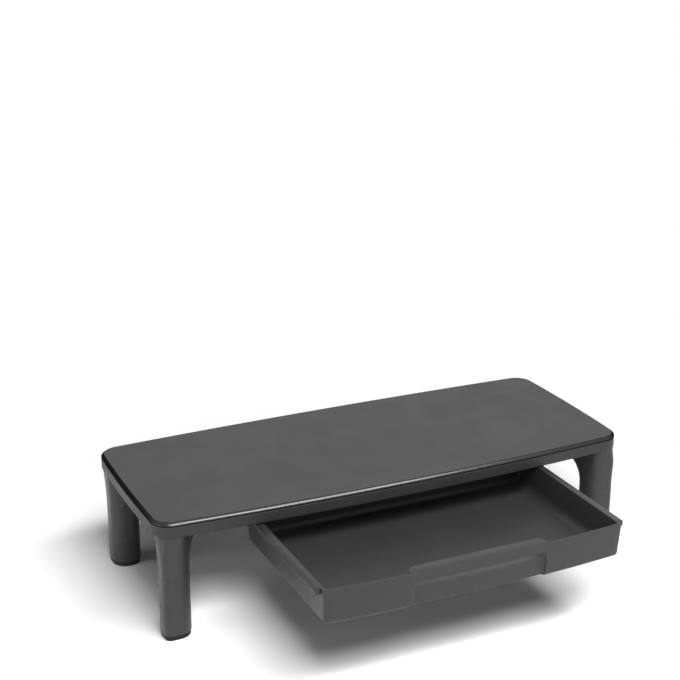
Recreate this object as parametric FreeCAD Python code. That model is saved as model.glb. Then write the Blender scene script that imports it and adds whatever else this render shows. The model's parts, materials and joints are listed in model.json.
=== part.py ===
"""Monitor stand with a drawer.

A ribbed deck on a skirt frame stands on four legs, each made of a flared head, two stacking
risers and a rubber foot. A tray drawer hangs by its rims in two rails under the deck.

Millimetres, +Z up. The origin lies on the desk, below the centre of the platform. The drawer
is drawn pulled out to its stop, and closes by sliding along +Y.
"""
import FreeCAD, Part
import math
import os

Vec = FreeCAD.Vector

# Platform outline
platform_width = 540.0
platform_depth = 220.0
platform_height = 129.0
front_bow = 10.0
back_bow = 6.0
side_bow = 3.0
corner_radius = 21.0

# Deck panel
deck_edge_height = 4.0
deck_edge_radius = 3.4
deck_plate = 2.6
deck_rim_wall = 2.0
deck_rim_fit = 0.2
deck_rim_drop = 6.0
rib_wall = 1.6
rib_gap = 0.4
rib_pitch_x = 45.0
rib_pitch_y = 36.0

# Skirt frame
groove_height = 0.6
skirt_height = 11.6
skirt_wall = 2.6
skirt_lower_radius = 1.2
ledge_reach = 4.0
ledge_thickness = 2.0
tab_radius = 6.5
seat_plate = 2.5
seat_margin = 2.0

# Legs
leg_inset_side = 22.5
leg_inset_front = 25.0
leg_inset_back = 26.0
leg_size = 31.0
leg_outer_radius = 7.5
leg_side_radius = 15.4
leg_inner_radius = 13.0
leg_wall = 2.5
flare_reach = 32.5
flare_straight = 1.0
flare_out_side = 2.0
flare_out_front = 1.2
flare_out_back = 3.0
flare_sections = 6
riser_height = 30.5
seam_chamfer = 0.3
socket_depth = 15.0
socket_web = 2.5
spigot_height = 12.0
spigot_fit = 0.3
spigot_wall = 2.0
spigot_lead = 1.0

# Rubber feet
foot_height = 5.0
foot_inset = 0.8
foot_neck_height = 0.7
foot_neck_inset = 1.6
foot_plug_height = 8.0
foot_plug_fit = 0.1
foot_chamfer = 0.8
foot_recess_inset = 5.0
foot_recess_depth = 1.0

# Screws
leg_screw_radius = 1.75
leg_screw_length = 20.0
leg_head_radius = 3.8
leg_head_height = 2.6
small_screw_radius = 1.3
small_screw_length = 8.0
small_head_radius = 2.9
small_head_height = 2.0
pilot_fit = 0.05
shank_fit = 0.4
head_fit = 0.5
boss_wall = 2.3
leg_boss_wall = 2.2
deck_boss_wall = 3.3
leg_boss_rise = 5.0
leg_boss_fit = 0.2
leg_head_depth = 9.0
pilot_extra = 1.0
frame_screw_x = 180.0

# Drawer
drawer_width = 335.2
drawer_height = 33.2
drawer_gap = 1.2
drawer_setback = 0.2
drawer_rear_space = 21.5
drawer_hold = 46.3
drawer_front_bow = 4.5
tray_wall = 3.0
tray_front_wall = 2.5
tray_floor = 2.5
tray_side_draft = 1.2
tray_front_draft = 1.5
tray_rear_draft = 2.7
tray_side_radius = 5.5
tray_front_radius = 4.5
tray_rear_radius = 4.0
tray_inner_radius = 9.0
rim_overhang = 5.6
rim_thickness = 2.2
rim_setback = 1.5
rim_step = 0.4
rim_step_width = 1.9
rim_edge_radius = 0.8
lip_wall = 1.8
lip_drop = 5.4
lug_length = 5.0
lug_reach = 2.2

# Finger pull in the drawer front
pull_width = 148.0
pull_drop = 12.6
pull_depth = 4.0
pull_blend = 6.0
pull_corner_radius = 6.0
pull_wall = 2.0
shelf_width = 150.0
shelf_depth = 13.8
shelf_corner_radius = 11.0
shelf_draft = 1.6
shelf_roof = 2.2

# Drawer rails
rail_gap = 0.4
lug_side_gap = 0.5
rail_wall = 2.0
rail_ledge_wall = 1.7
rail_cover = 6.6
rail_flange = 12.0
rail_front_inset = 20.0
rail_end_wall = 2.2
rail_guide_lead = 1.5
stop_gap = 0.3
rail_gusset_wall = 2.0
rail_gusset_size = 5.0
rail_screw_inset = 9.0

# Levels
deck_edge_z = platform_height - deck_edge_height
deck_under_z = platform_height - deck_plate
ledge_top_z = deck_edge_z - deck_rim_drop
rib_bottom_z = ledge_top_z + rib_gap
skirt_top_z = deck_edge_z - groove_height
skirt_bottom_z = skirt_top_z - skirt_height
lower_seam_z = foot_height + riser_height
upper_seam_z = lower_seam_z + riser_height
leg_boss_top_z = skirt_bottom_z + leg_boss_rise
rim_z = skirt_bottom_z - drawer_gap
tray_bottom_z = rim_z - drawer_height
rail_leaf_z = rim_z + rail_gap
leg_screw_tip_z = skirt_bottom_z - leg_head_depth + leg_screw_length
rail_top_z = rail_leaf_z + rail_wall

# Drawer places with the drawer pulled out
tray_depth = platform_depth - drawer_setback - drawer_rear_space
drawer_travel = tray_depth - drawer_hold
tray_front_y = -platform_depth / 2 + drawer_setback - drawer_travel
tray_rear_y = tray_front_y + tray_depth
tray_half = drawer_width / 2 - rim_overhang
bow_radius = (tray_half ** 2 + drawer_front_bow ** 2) / (2 * drawer_front_bow)

# Rail places: the guide ahead of the stop is narrow, and the lugs run behind it
guide_x = drawer_width / 2 + lug_side_gap
channel_x = guide_x + lug_reach
rail_outer_x = channel_x + rail_wall
rail_start_y = -platform_depth / 2 + rail_front_inset
stop_y = tray_rear_y - lug_length - stop_gap
rail_end_y = tray_rear_y + drawer_travel + stop_gap + rail_end_wall
lip_bottom_z = rim_z - lip_drop
rail_ledge_z = lip_bottom_z - rail_gap

# How far a cutting solid runs past the face that it cuts
past = 1.0


def prism(wire, height):
    """Solid between a flat wire and its copy raised by height."""
    return Part.Face(wire).extrude(Vec(0, 0, height))


def rounded_wire(corners, place):
    """Closed wire through (a, b, radius) corners; place turns (a, b) into a point in space."""
    points = [(a, b) for a, b, _ in corners]
    edges = []
    last = None
    first = None
    count = len(corners)
    for i, (a, b, radius) in enumerate(corners):
        before = points[i - 1]
        after = points[(i + 1) % count]
        back = math.hypot(before[0] - a, before[1] - b)
        ahead = math.hypot(after[0] - a, after[1] - b)
        u = ((before[0] - a) / back, (before[1] - b) / back)
        v = ((after[0] - a) / ahead, (after[1] - b) / ahead)
        if radius > 0:
            angle = math.acos(max(-1.0, min(1.0, u[0] * v[0] + u[1] * v[1])))
            run = radius / math.tan(angle / 2)
            start = (a + u[0] * run, b + u[1] * run)
            end = (a + v[0] * run, b + v[1] * run)
            w = (u[0] + v[0], u[1] + v[1])
            size = math.hypot(*w)
            reach = radius / math.sin(angle / 2) - radius
            middle = (a + w[0] / size * reach, b + w[1] / size * reach)
            arc = Part.Arc(place(*start), place(*middle), place(*end)).toShape()
        else:
            start = end = (a, b)
            arc = None
        if last is None:
            first = start
        elif math.dist(last, start) > 1e-7:
            edges.append(Part.LineSegment(place(*last), place(*start)).toShape())
        if arc is not None:
            edges.append(arc)
        last = end
    if math.dist(last, first) > 1e-7:
        edges.append(Part.LineSegment(place(*last), place(*first)).toShape())
    return Part.Wire(edges)


def bow_circle(half_chord, bow):
    """Radius of the arc that stands bow proud over a chord."""
    return (half_chord ** 2 + bow ** 2) / (2 * bow)


front_radius = bow_circle(platform_width / 2, front_bow)
back_radius = bow_circle(platform_width / 2, back_bow)
side_radius = bow_circle(platform_depth / 2, side_bow)
front_centre_y = -platform_depth / 2 + front_radius
back_centre_y = platform_depth / 2 - back_radius
side_centre_x = platform_width / 2 - side_radius


def corner_centre(end_radius, end_centre_y, sign):
    """Centre of the right-hand corner circle that touches an end bow and the side bow inside."""
    a = end_radius - corner_radius
    b = side_radius - corner_radius
    dx = -side_centre_x
    dy = end_centre_y
    gap = math.hypot(dx, dy)
    along = (gap ** 2 + b ** 2 - a ** 2) / (2 * gap)
    off = math.sqrt(b ** 2 - along ** 2)
    foot_x = side_centre_x + dx / gap * along
    foot_y = dy / gap * along
    best = None
    for way in (-1, 1):
        x = foot_x - way * dy / gap * off
        y = foot_y + way * dx / gap * off
        if x > 0 and y * sign > 0:
            best = (x, y)
    return best


front_corner = corner_centre(front_radius, front_centre_y, -1)
back_corner = corner_centre(back_radius, back_centre_y, 1)


def touch_point(centre, corner, reach):
    """Point at distance reach from centre, along the line through a corner circle's centre."""
    dx = corner[0] - centre[0]
    dy = corner[1] - centre[1]
    size = math.hypot(dx, dy)
    return (centre[0] + dx / size * reach, centre[1] + dy / size * reach)


def outline(inset, z):
    """Bowed platform outline, moved inwards by inset, at height z."""
    half_w = platform_width / 2 - inset
    half_d = platform_depth / 2 - inset
    front_end = touch_point((0, front_centre_y), front_corner, front_radius - inset)
    back_end = touch_point((0, back_centre_y), back_corner, back_radius - inset)
    side_front = touch_point((side_centre_x, 0), front_corner, side_radius - inset)
    side_back = touch_point((side_centre_x, 0), back_corner, side_radius - inset)

    def corner_middle(corner, first, second):
        mx = (first[0] + second[0]) / 2
        my = (first[1] + second[1]) / 2
        return touch_point(corner, (mx, my), corner_radius - inset)

    front_mid = corner_middle(front_corner, front_end, side_front)
    back_mid = corner_middle(back_corner, back_end, side_back)

    def flip(point):
        return (-point[0], point[1])

    path = [
        (flip(front_end), (0, -half_d), front_end),
        (front_end, front_mid, side_front),
        (side_front, (half_w, 0), side_back),
        (side_back, back_mid, back_end),
        (back_end, (0, half_d), flip(back_end)),
        (flip(back_end), flip(back_mid), flip(side_back)),
        (flip(side_back), (-half_w, 0), flip(side_front)),
        (flip(side_front), flip(front_mid), flip(front_end)),
    ]
    arcs = [Part.Arc(*[Vec(x, y, z) for x, y in span]).toShape() for span in path]
    return Part.Wire(arcs)


def ring(outer_inset, inner_inset, z, height):
    """Wall between two insets of the platform outline."""
    outer = prism(outline(outer_inset, z), height)
    inner = prism(outline(inner_inset, z - past), height + 2 * past)
    return outer.cut(inner)


def front_y(x, inset):
    """Y of the front bow at x, moved inwards by inset."""
    return front_centre_y - math.sqrt((front_radius - inset) ** 2 - x ** 2)


def back_y(x, inset):
    """Y of the back bow at x, moved inwards by inset."""
    return back_centre_y + math.sqrt((back_radius - inset) ** 2 - x ** 2)


def edges_at(shape, z):
    """Edges of a shape that lie in the plane at height z."""
    tolerance = 1e-4
    found = []
    for edge in shape.Edges:
        box = edge.BoundBox
        if abs(box.ZMin - z) < tolerance and abs(box.ZMax - z) < tolerance:
            found.append(edge)
    return found


# Screw sizes that several pieces share
small_pilot = small_screw_radius + pilot_fit
small_boss = small_pilot + boss_wall
leg_pilot = leg_screw_radius + pilot_fit
leg_deck_boss = leg_pilot + deck_boss_wall
leg_bore = leg_head_radius + head_fit
leg_boss = leg_bore + leg_boss_wall
tab_inset = skirt_wall + ledge_reach + small_boss - boss_wall


def frame_screw_places():
    """Plan positions of the screws round the skirt frame."""
    places = []
    for x in (-frame_screw_x, 0.0, frame_screw_x):
        places.append((x, front_y(x, tab_inset)))
        places.append((x, back_y(x, tab_inset)))
    for sign in (-1, 1):
        places.append((sign * (platform_width / 2 - tab_inset), 0.0))
    return places


def leg_places():
    """Name, outward signs and plan centre of each leg."""
    x = platform_width / 2 - leg_inset_side
    y_front = -platform_depth / 2 + leg_inset_front
    y_back = platform_depth / 2 - leg_inset_back
    return [
        ("front_right", 1, -1, x, y_front),
        ("front_left", -1, -1, -x, y_front),
        ("back_right", 1, 1, x, y_back),
        ("back_left", -1, 1, -x, y_back),
    ]


def rail_screw_places():
    """Plan positions of the screws of the right-hand rail."""
    x = rail_outer_x + rail_flange / 2
    first = rail_start_y + rail_screw_inset
    last = rail_end_y - rail_screw_inset
    return [(x, first), (x, (first + last) / 2), (x, last)]


def leg_section(place, z, inset, flare=0.0, out_x=0.0, out_y=0.0):
    """Leg outline at height z: four corner circles and the lines that touch them.

    The corner that points into the stand is drawn inwards along the diagonal by flare, and
    the two outer faces move out by out_x and out_y.
    """
    _, sign_x, sign_y, cx, cy = place
    half = leg_size / 2
    outer = half - leg_outer_radius
    side = half - leg_side_radius
    inner = half - leg_inner_radius + flare / math.sqrt(2)
    circles = [
        (outer + out_x, outer + out_y, leg_outer_radius - inset),
        (-side, side + out_y, leg_side_radius - inset),
        (-inner, -inner, leg_inner_radius - inset),
        (side + out_x, -side, leg_side_radius - inset),
    ]

    def spot(x, y):
        return Vec(cx + sign_x * x, cy + sign_y * y, z)

    starts = []
    ends = []
    turns = []
    for i, (x, y, radius) in enumerate(circles):
        nx, ny, next_radius = circles[(i + 1) % 4]
        gap = math.hypot(nx - x, ny - y)
        ex = (nx - x) / gap
        ey = (ny - y) / gap
        along = (radius - next_radius) / gap
        across = math.sqrt(1 - along ** 2)
        normal = (along * ex + across * ey, along * ey - across * ex)
        ends.append((x + radius * normal[0], y + radius * normal[1]))
        starts.append((nx + next_radius * normal[0], ny + next_radius * normal[1]))
        turns.append(normal)
    edges = []
    for i, (x, y, radius) in enumerate(circles):
        before = turns[i - 1]
        after = turns[i]
        mx = before[0] + after[0]
        my = before[1] + after[1]
        size = math.hypot(mx, my)
        middle = (x + radius * mx / size, y + radius * my / size)
        start = starts[i - 1]
        end = ends[i]
        edges.append(Part.Arc(spot(*start), spot(*middle), spot(*end)).toShape())
        edges.append(Part.LineSegment(spot(*end), spot(*starts[i])).toShape())
    return Part.Wire(edges)


flare_start_z = upper_seam_z + flare_straight
flare_rise = skirt_bottom_z - flare_start_z
flare_radius = bow_circle(flare_rise, flare_reach)


def flared_section(place, z, inset):
    """Section of a leg head, whose inner corner follows an arc into the underside."""
    height = z - flare_start_z
    share = height / flare_rise
    flare = flare_radius - math.sqrt(flare_radius ** 2 - height ** 2)
    out_y = flare_out_front if place[2] < 0 else flare_out_back
    return leg_section(place, z, inset, flare, flare_out_side * share ** 2, out_y * share ** 2)


def flared_loft(place, low_z, inset):
    """Loft of a leg head's sections from low_z up to the skirt, at even steps round the arc."""
    first = math.asin((low_z - flare_start_z) / flare_radius)
    turn = math.asin(flare_rise / flare_radius) - first
    sections = []
    for i in range(flare_sections + 1):
        z = flare_start_z + flare_radius * math.sin(first + turn * i / flare_sections)
        sections.append(flared_section(place, z, inset))
    return Part.makeLoft(sections, True, False)


def head_pocket(place, floor_z):
    """Hollow of a leg head: a straight well, and a slot that follows the flare's arc."""
    _, sign_x, sign_y, cx, cy = place
    depth = skirt_bottom_z - floor_z + past
    well = prism(leg_section(place, floor_z, leg_wall), depth)
    half = leg_inner_radius - leg_wall
    inner = (leg_size / 2 - leg_inner_radius) * math.sqrt(2) + leg_inner_radius
    arc_x = inner + flare_radius
    radius = flare_radius + leg_wall
    top = skirt_bottom_z + past
    reach = arc_x - math.sqrt(radius ** 2 - (top - flare_start_z) ** 2)
    low = arc_x - math.sqrt(radius ** 2 - (floor_z - flare_start_z) ** 2)
    middle_z = (floor_z + top) / 2
    middle = arc_x - math.sqrt(radius ** 2 - (middle_z - flare_start_z) ** 2)
    edges = [
        Part.LineSegment(Vec(0, -half, floor_z), Vec(low, -half, floor_z)).toShape(),
        Part.Arc(Vec(low, -half, floor_z), Vec(middle, -half, middle_z), Vec(reach, -half, top)).toShape(),
        Part.LineSegment(Vec(reach, -half, top), Vec(0, -half, top)).toShape(),
        Part.LineSegment(Vec(0, -half, top), Vec(0, -half, floor_z)).toShape(),
    ]
    slot = Part.Face(Part.Wire(edges)).extrude(Vec(0, 2 * half, 0))
    end = Part.makeCylinder(half, depth, Vec(reach - half, 0, floor_z))
    bar = Part.makeBox(reach - half, 2 * half, depth, Vec(0, -half, floor_z))
    slot = slot.common(end.fuse(bar))
    slot.rotate(Vec(0, 0, 0), Vec(0, 0, 1), math.degrees(math.atan2(-sign_y, -sign_x)))
    slot.translate(Vec(cx, cy, 0))
    return well.fuse(slot)


def upper_leg(place):
    """Leg head: flared shell with a socket below and a screw boss inside."""
    _, _, _, cx, cy = place
    head = flared_loft(place, flare_start_z, 0.0)
    base = prism(leg_section(place, upper_seam_z, 0.0), flare_straight)
    base = base.makeChamfer(seam_chamfer, edges_at(base, upper_seam_z))
    head = head.fuse(base)
    web_z = upper_seam_z + socket_depth
    head = head.cut(head_pocket(place, web_z + socket_web))
    boss_z = web_z + socket_web / 2
    boss = Part.makeCylinder(leg_boss, leg_boss_top_z - boss_z, Vec(cx, cy, boss_z))
    head = head.fuse(boss)
    socket = prism(leg_section(place, upper_seam_z - past, leg_wall), socket_depth + past)
    head = head.cut(socket)
    head_seat_z = skirt_bottom_z - leg_head_depth
    bore = Part.makeCylinder(leg_bore, head_seat_z - web_z + past, Vec(cx, cy, web_z - past))
    shank = Part.makeCylinder(leg_screw_radius + shank_fit, leg_boss_top_z, Vec(cx, cy, web_z))
    return head.cut(bore).cut(shank)


def riser(place, low_z):
    """Stacking riser: a socket below, a hollow spigot above."""
    top_z = low_z + riser_height
    body = prism(leg_section(place, low_z, 0.0), riser_height)
    body = body.makeChamfer(seam_chamfer, edges_at(body, low_z) + edges_at(body, top_z))
    spigot_inset = leg_wall + spigot_fit
    root_z = top_z - seam_chamfer - past
    tip_z = top_z + spigot_height
    spigot = prism(leg_section(place, root_z, spigot_inset), tip_z - root_z)
    spigot = spigot.makeChamfer(spigot_lead, edges_at(spigot, tip_z))
    body = body.fuse(spigot)
    body = body.cut(prism(leg_section(place, low_z - past, leg_wall), socket_depth + past))
    floor_z = low_z + socket_depth + socket_web
    hollow = prism(leg_section(place, floor_z, spigot_inset + spigot_wall), tip_z - floor_z + past)
    return body.cut(hollow)


def rubber_foot(place):
    """Rubber foot: pad, neck groove and a plug pushed into the lowest socket."""
    neck_z = foot_height - foot_neck_height
    pad = prism(leg_section(place, 0.0, foot_inset), neck_z)
    pad = pad.makeChamfer(foot_chamfer, edges_at(pad, 0.0))
    neck = prism(leg_section(place, neck_z - foot_neck_height, foot_neck_inset), 2 * foot_neck_height)
    plug_z = foot_height - foot_neck_height / 2
    plug = prism(leg_section(place, plug_z, leg_wall + foot_plug_fit), foot_plug_height)
    recess = prism(leg_section(place, -past, foot_recess_inset), foot_recess_depth + past)
    return pad.fuse(neck).fuse(plug).cut(recess)


def screw(x, y, seat_z, radius, length, head_radius, head_height):
    """Pan-head screw that stands up from its seat, with the head below."""
    edge = head_height / 3
    corners = [
        (0.0, seat_z - head_height, 0.0),
        (head_radius - edge, seat_z - head_height, 0.0),
        (head_radius, seat_z, 0.0),
        (radius, seat_z, 0.0),
        (radius, seat_z + length, 0.0),
        (0.0, seat_z + length, 0.0),
    ]
    profile = Part.Face(rounded_wire(corners, lambda a, b: Vec(x + a, y, b)))
    return profile.revolve(Vec(x, y, 0), Vec(0, 0, 1), 360)


def deck_panel():
    """Top shell: rolled edge, rim wall that drops into the skirt, ribs and screw bosses."""
    deck = prism(outline(0.0, deck_edge_z), deck_edge_height)
    deck = deck.makeFillet(deck_edge_radius, edges_at(deck, platform_height))
    rim_inset = skirt_wall + deck_rim_fit
    inner_inset = rim_inset + deck_rim_wall
    pocket = prism(outline(inner_inset, ledge_top_z - past), deck_under_z - ledge_top_z + past)
    rim = prism(outline(rim_inset, ledge_top_z), deck_under_z - ledge_top_z)
    deck = deck.fuse(rim).cut(pocket)
    grid = []
    bite = deck_plate / 2
    rib_height = deck_under_z + bite - rib_bottom_z
    columns = int((platform_width / 2 - inner_inset) / rib_pitch_x)
    for i in range(-columns, columns + 1):
        corner = Vec(i * rib_pitch_x - rib_wall / 2, -platform_depth / 2, rib_bottom_z)
        grid.append(Part.makeBox(rib_wall, platform_depth, rib_height, corner))
    rows = int((platform_depth / 2 - inner_inset) / rib_pitch_y)
    for i in range(-rows, rows + 1):
        corner = Vec(-platform_width / 2, i * rib_pitch_y - rib_wall / 2, rib_bottom_z)
        grid.append(Part.makeBox(platform_width, rib_wall, rib_height, corner))
    inside = prism(outline(inner_inset - deck_rim_wall / 2, rib_bottom_z), rib_height)
    ribs = grid[0].fuse(grid[1:]).common(inside)
    posts = []
    holes = []
    for x, y in frame_screw_places():
        posts.append((x, y, small_boss, ledge_top_z))
        holes.append((x, y, small_pilot, ledge_top_z, ledge_top_z - ledge_thickness + small_screw_length))
    for _, _, _, x, y in leg_places():
        posts.append((x, y, leg_deck_boss, leg_boss_top_z + leg_boss_fit))
        holes.append((x, y, leg_pilot, leg_boss_top_z, leg_screw_tip_z))
    for right_x, y in rail_screw_places():
        for x in (-right_x, right_x):
            posts.append((x, y, small_boss, rail_top_z))
            holes.append((x, y, small_pilot, rail_top_z, rail_leaf_z + small_screw_length))
    bosses = [Part.makeCylinder(r, deck_under_z + bite - z, Vec(x, y, z)) for x, y, r, z in posts]
    deck = deck.fuse([ribs] + bosses)
    drills = []
    for x, y, radius, low_z, tip_z in holes:
        drills.append(Part.makeCylinder(radius, tip_z + pilot_extra - low_z + past, Vec(x, y, low_z - past)))
    return deck.cut(drills).removeSplitter()


def skirt_frame():
    """Lower frame: skirt, ledge under the deck's rim, screw tabs and leg seats."""
    skirt = prism(outline(0.0, skirt_bottom_z), skirt_height)
    skirt = skirt.makeFillet(skirt_lower_radius, edges_at(skirt, skirt_bottom_z))
    skirt = skirt.cut(prism(outline(skirt_wall, skirt_bottom_z - past), skirt_height + 2 * past))
    ledge_z = ledge_top_z - ledge_thickness
    middle = skirt_wall / 2
    parts = [ring(middle, skirt_wall + ledge_reach, ledge_z, ledge_thickness)]
    tabs = []
    drills = []
    for x, y in frame_screw_places():
        tabs.append(Part.makeCylinder(tab_radius, ledge_thickness, Vec(x, y, ledge_z)))
        hole = Vec(x, y, skirt_bottom_z)
        drills.append(Part.makeCylinder(small_screw_radius + shank_fit, skirt_height, hole))
    seats = []
    for place in leg_places():
        seats.append(prism(flared_section_at(place, -seat_margin), seat_plate))
        hole = Vec(place[3], place[4], skirt_bottom_z)
        drills.append(Part.makeCylinder(leg_boss + leg_boss_fit, skirt_height, hole))
    inside = prism(outline(middle, skirt_bottom_z), skirt_height)
    parts += [tab.common(inside) for tab in tabs + seats]
    return skirt.fuse(parts).cut(drills).removeSplitter()


def flared_section_at(place, inset):
    """Top section of a leg head, at the height of the skirt's lower edge."""
    return flared_section(place, skirt_bottom_z, inset)


def side_half(z, offset):
    """Half width of the tray at height z, moved inwards by offset."""
    return tray_half - tray_side_draft * (rim_z - z) / drawer_height - offset


def tray_form(offset, front_offset, floor_z, top_z, side_r, front_r, rear_r):
    """Drafted tray volume: bowed front, straight sides and rear, rounded bottom edges."""

    def front_at(z):
        return tray_front_y + tray_front_draft * (rim_z - z) / drawer_height + front_offset

    def rear_at(z):
        return tray_rear_y - tray_rear_draft * (rim_z - z) / drawer_height - offset

    elevation = rounded_wire([
        (-side_half(top_z, offset), top_z, 0.0),
        (-side_half(floor_z, offset), floor_z, side_r),
        (side_half(floor_z, offset), floor_z, side_r),
        (side_half(top_z, offset), top_z, 0.0),
    ], lambda a, b: Vec(a, tray_front_y - past, b))
    trough = Part.Face(elevation).extrude(Vec(0, tray_depth + 2 * past, 0))
    ahead = tray_front_y - 2 * drawer_front_bow
    rear = rounded_wire([
        (ahead, floor_z, 0.0),
        (rear_at(floor_z), floor_z, rear_r),
        (rear_at(top_z), top_z, 0.0),
        (ahead, top_z, 0.0),
    ], lambda a, b: Vec(-drawer_width / 2, a, b))
    rear_block = Part.Face(rear).extrude(Vec(drawer_width, 0, 0))
    behind = tray_rear_y + 2 * drawer_front_bow
    bowed = rounded_wire([
        (front_at(top_z), top_z, 0.0),
        (front_at(floor_z), floor_z, front_r),
        (behind, floor_z, 0.0),
        (behind, top_z, 0.0),
    ], lambda a, b: Vec(0, a, b))
    return trough.common(rear_block).common(swing(bowed))


def swing(wire):
    """Turn a profile in the YZ plane about the upright axis of the drawer's front bow."""
    axis = Vec(0, tray_front_y + bow_radius, 0)
    half_angle = math.degrees(math.asin(drawer_width / 2 / (bow_radius - tray_depth)))
    face = Part.Face(wire)
    face.rotate(axis, Vec(0, 0, 1), -half_angle)
    return face.revolve(axis, Vec(0, 0, 1), 2 * half_angle)


def pull_profile(offset, far_y):
    """Profile of the recessed front, set back by offset, closed at far_y."""
    low_z = tray_bottom_z - past
    high_z = rim_z - pull_drop
    slope = tray_front_draft / drawer_height

    def face_at(z):
        return tray_front_y + slope * (rim_z - z) + offset

    start = Vec(0, face_at(high_z), high_z)
    blend_z = high_z - pull_blend
    bend = Vec(0, face_at(blend_z) + pull_depth * 0.72, high_z - pull_blend * 0.42)
    end = Vec(0, face_at(blend_z) + pull_depth, blend_z)
    foot = Vec(0, face_at(low_z) + pull_depth, low_z)
    return [
        Part.Arc(start, bend, end).toShape(),
        Part.LineSegment(end, foot).toShape(),
        Part.LineSegment(foot, Vec(0, far_y, low_z)).toShape(),
        Part.LineSegment(Vec(0, far_y, low_z), Vec(0, far_y, high_z)).toShape(),
        Part.LineSegment(Vec(0, far_y, high_z), start).toShape(),
    ]


def pull_recess():
    """Solid that scoops the finger pull out of the drawer front."""
    scoop = swing(Part.Wire(pull_profile(0.0, tray_front_y - 2 * drawer_front_bow)))
    half = pull_width / 2
    window = rounded_wire([
        (-half, tray_bottom_z - 2 * past, 0.0),
        (half, tray_bottom_z - 2 * past, 0.0),
        (half, rim_z - pull_drop, pull_corner_radius),
        (-half, rim_z - pull_drop, pull_corner_radius),
    ], lambda a, b: Vec(a, tray_front_y - 3 * drawer_front_bow, b))
    return scoop.common(Part.Face(window).extrude(Vec(0, shelf_depth + 3 * drawer_front_bow, 0)))


def shelf_plan(z, wall):
    """Plan of the raised block behind the finger pull at height z, inside a wall."""
    inset = wall - shelf_draft * (rim_z - z) / drawer_height
    half = shelf_width / 2 - inset
    rear_y = tray_front_y + shelf_depth - inset
    ahead = tray_front_y - drawer_front_bow
    radius = shelf_corner_radius - inset
    return rounded_wire([
        (-half, ahead, 0.0),
        (half, ahead, 0.0),
        (half, rear_y, radius),
        (-half, rear_y, radius),
    ], lambda a, b: Vec(a, b, z))


def shelf_solid(low_z, high_z, wall):
    """Tapered block between two levels of the shelf's plan."""
    return Part.makeLoft([shelf_plan(low_z, wall), shelf_plan(high_z, wall)], True, True)


def finger_pocket():
    """Hollow under the raised block, open below, behind the scooped front wall."""
    pocket = shelf_solid(tray_bottom_z - past, rim_z - shelf_roof, pull_wall)
    slope = tray_front_draft / drawer_height
    low_z = tray_bottom_z - 2 * past
    high_z = rim_z - pull_drop
    far_y = tray_front_y + 2 * shelf_depth

    def wall_at(z, depth):
        return tray_front_y + slope * (rim_z - z) + depth + pull_wall

    corners = [
        (wall_at(rim_z, 0.0), rim_z, 0.0),
        (wall_at(high_z, 0.0), high_z, 0.0),
        (wall_at(high_z - pull_blend, pull_depth), high_z - pull_blend, 0.0),
        (wall_at(low_z, pull_depth), low_z, 0.0),
        (far_y, low_z, 0.0),
        (far_y, rim_z, 0.0),
    ]
    return pocket.common(swing(rounded_wire(corners, lambda a, b: Vec(0, a, b))))


def drawer_rim(sign):
    """Turned-down rim along one side of the tray, with its stop lug at the rear end."""
    root_x = tray_half - tray_wall / 2
    outer_x = drawer_width / 2
    step_x = outer_x - rim_step_width
    lip_x = outer_x - lip_wall
    under_z = rim_z - rim_thickness
    corner_y = tray_front_y + bow_radius - math.sqrt(bow_radius ** 2 - tray_half ** 2)
    start_y = corner_y + rim_setback
    lip_edge = lip_wall / 3
    profile = rounded_wire([
        (sign * root_x, rim_z, 0.0),
        (sign * step_x, rim_z, 0.0),
        (sign * step_x, rim_z - rim_step, 0.0),
        (sign * outer_x, rim_z - rim_step, rim_edge_radius),
        (sign * outer_x, lip_bottom_z, lip_edge),
        (sign * lip_x, lip_bottom_z, lip_edge),
        (sign * lip_x, under_z, 0.0),
        (sign * root_x, under_z, 0.0),
    ], lambda a, b: Vec(a, start_y, b))
    rim = Part.Face(profile).extrude(Vec(0, tray_rear_y - start_y, 0))
    lug_x = outer_x - lip_wall / 2
    lug_size = lip_wall / 2 + lug_reach
    lug_start = min(sign * lug_x, sign * (lug_x + lug_size))
    corner = Vec(lug_start, tray_rear_y - lug_length, lip_bottom_z + lip_edge)
    lug = Part.makeBox(lug_size, lug_length, lip_drop - 2 * rim_step - lip_edge, corner)
    return rim.fuse(lug)


def drawer_tray():
    """Drawer moulding: drafted tray, side rims with stop lugs and a finger pull."""
    tray = tray_form(0.0, 0.0, tray_bottom_z, rim_z, tray_side_radius, tray_front_radius, tray_rear_radius)
    block = shelf_solid(tray_bottom_z, rim_z, 0.0).common(tray)
    hollow = tray_form(tray_wall, tray_front_wall, tray_bottom_z + tray_floor, rim_z + past,
                       tray_inner_radius, tray_inner_radius, tray_inner_radius)
    tray = tray.cut(hollow).fuse(block)
    tray = tray.cut(pull_recess()).cut(finger_pocket())
    tray = tray.fuse([drawer_rim(-1), drawer_rim(1)])
    return tray.removeSplitter()


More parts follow.
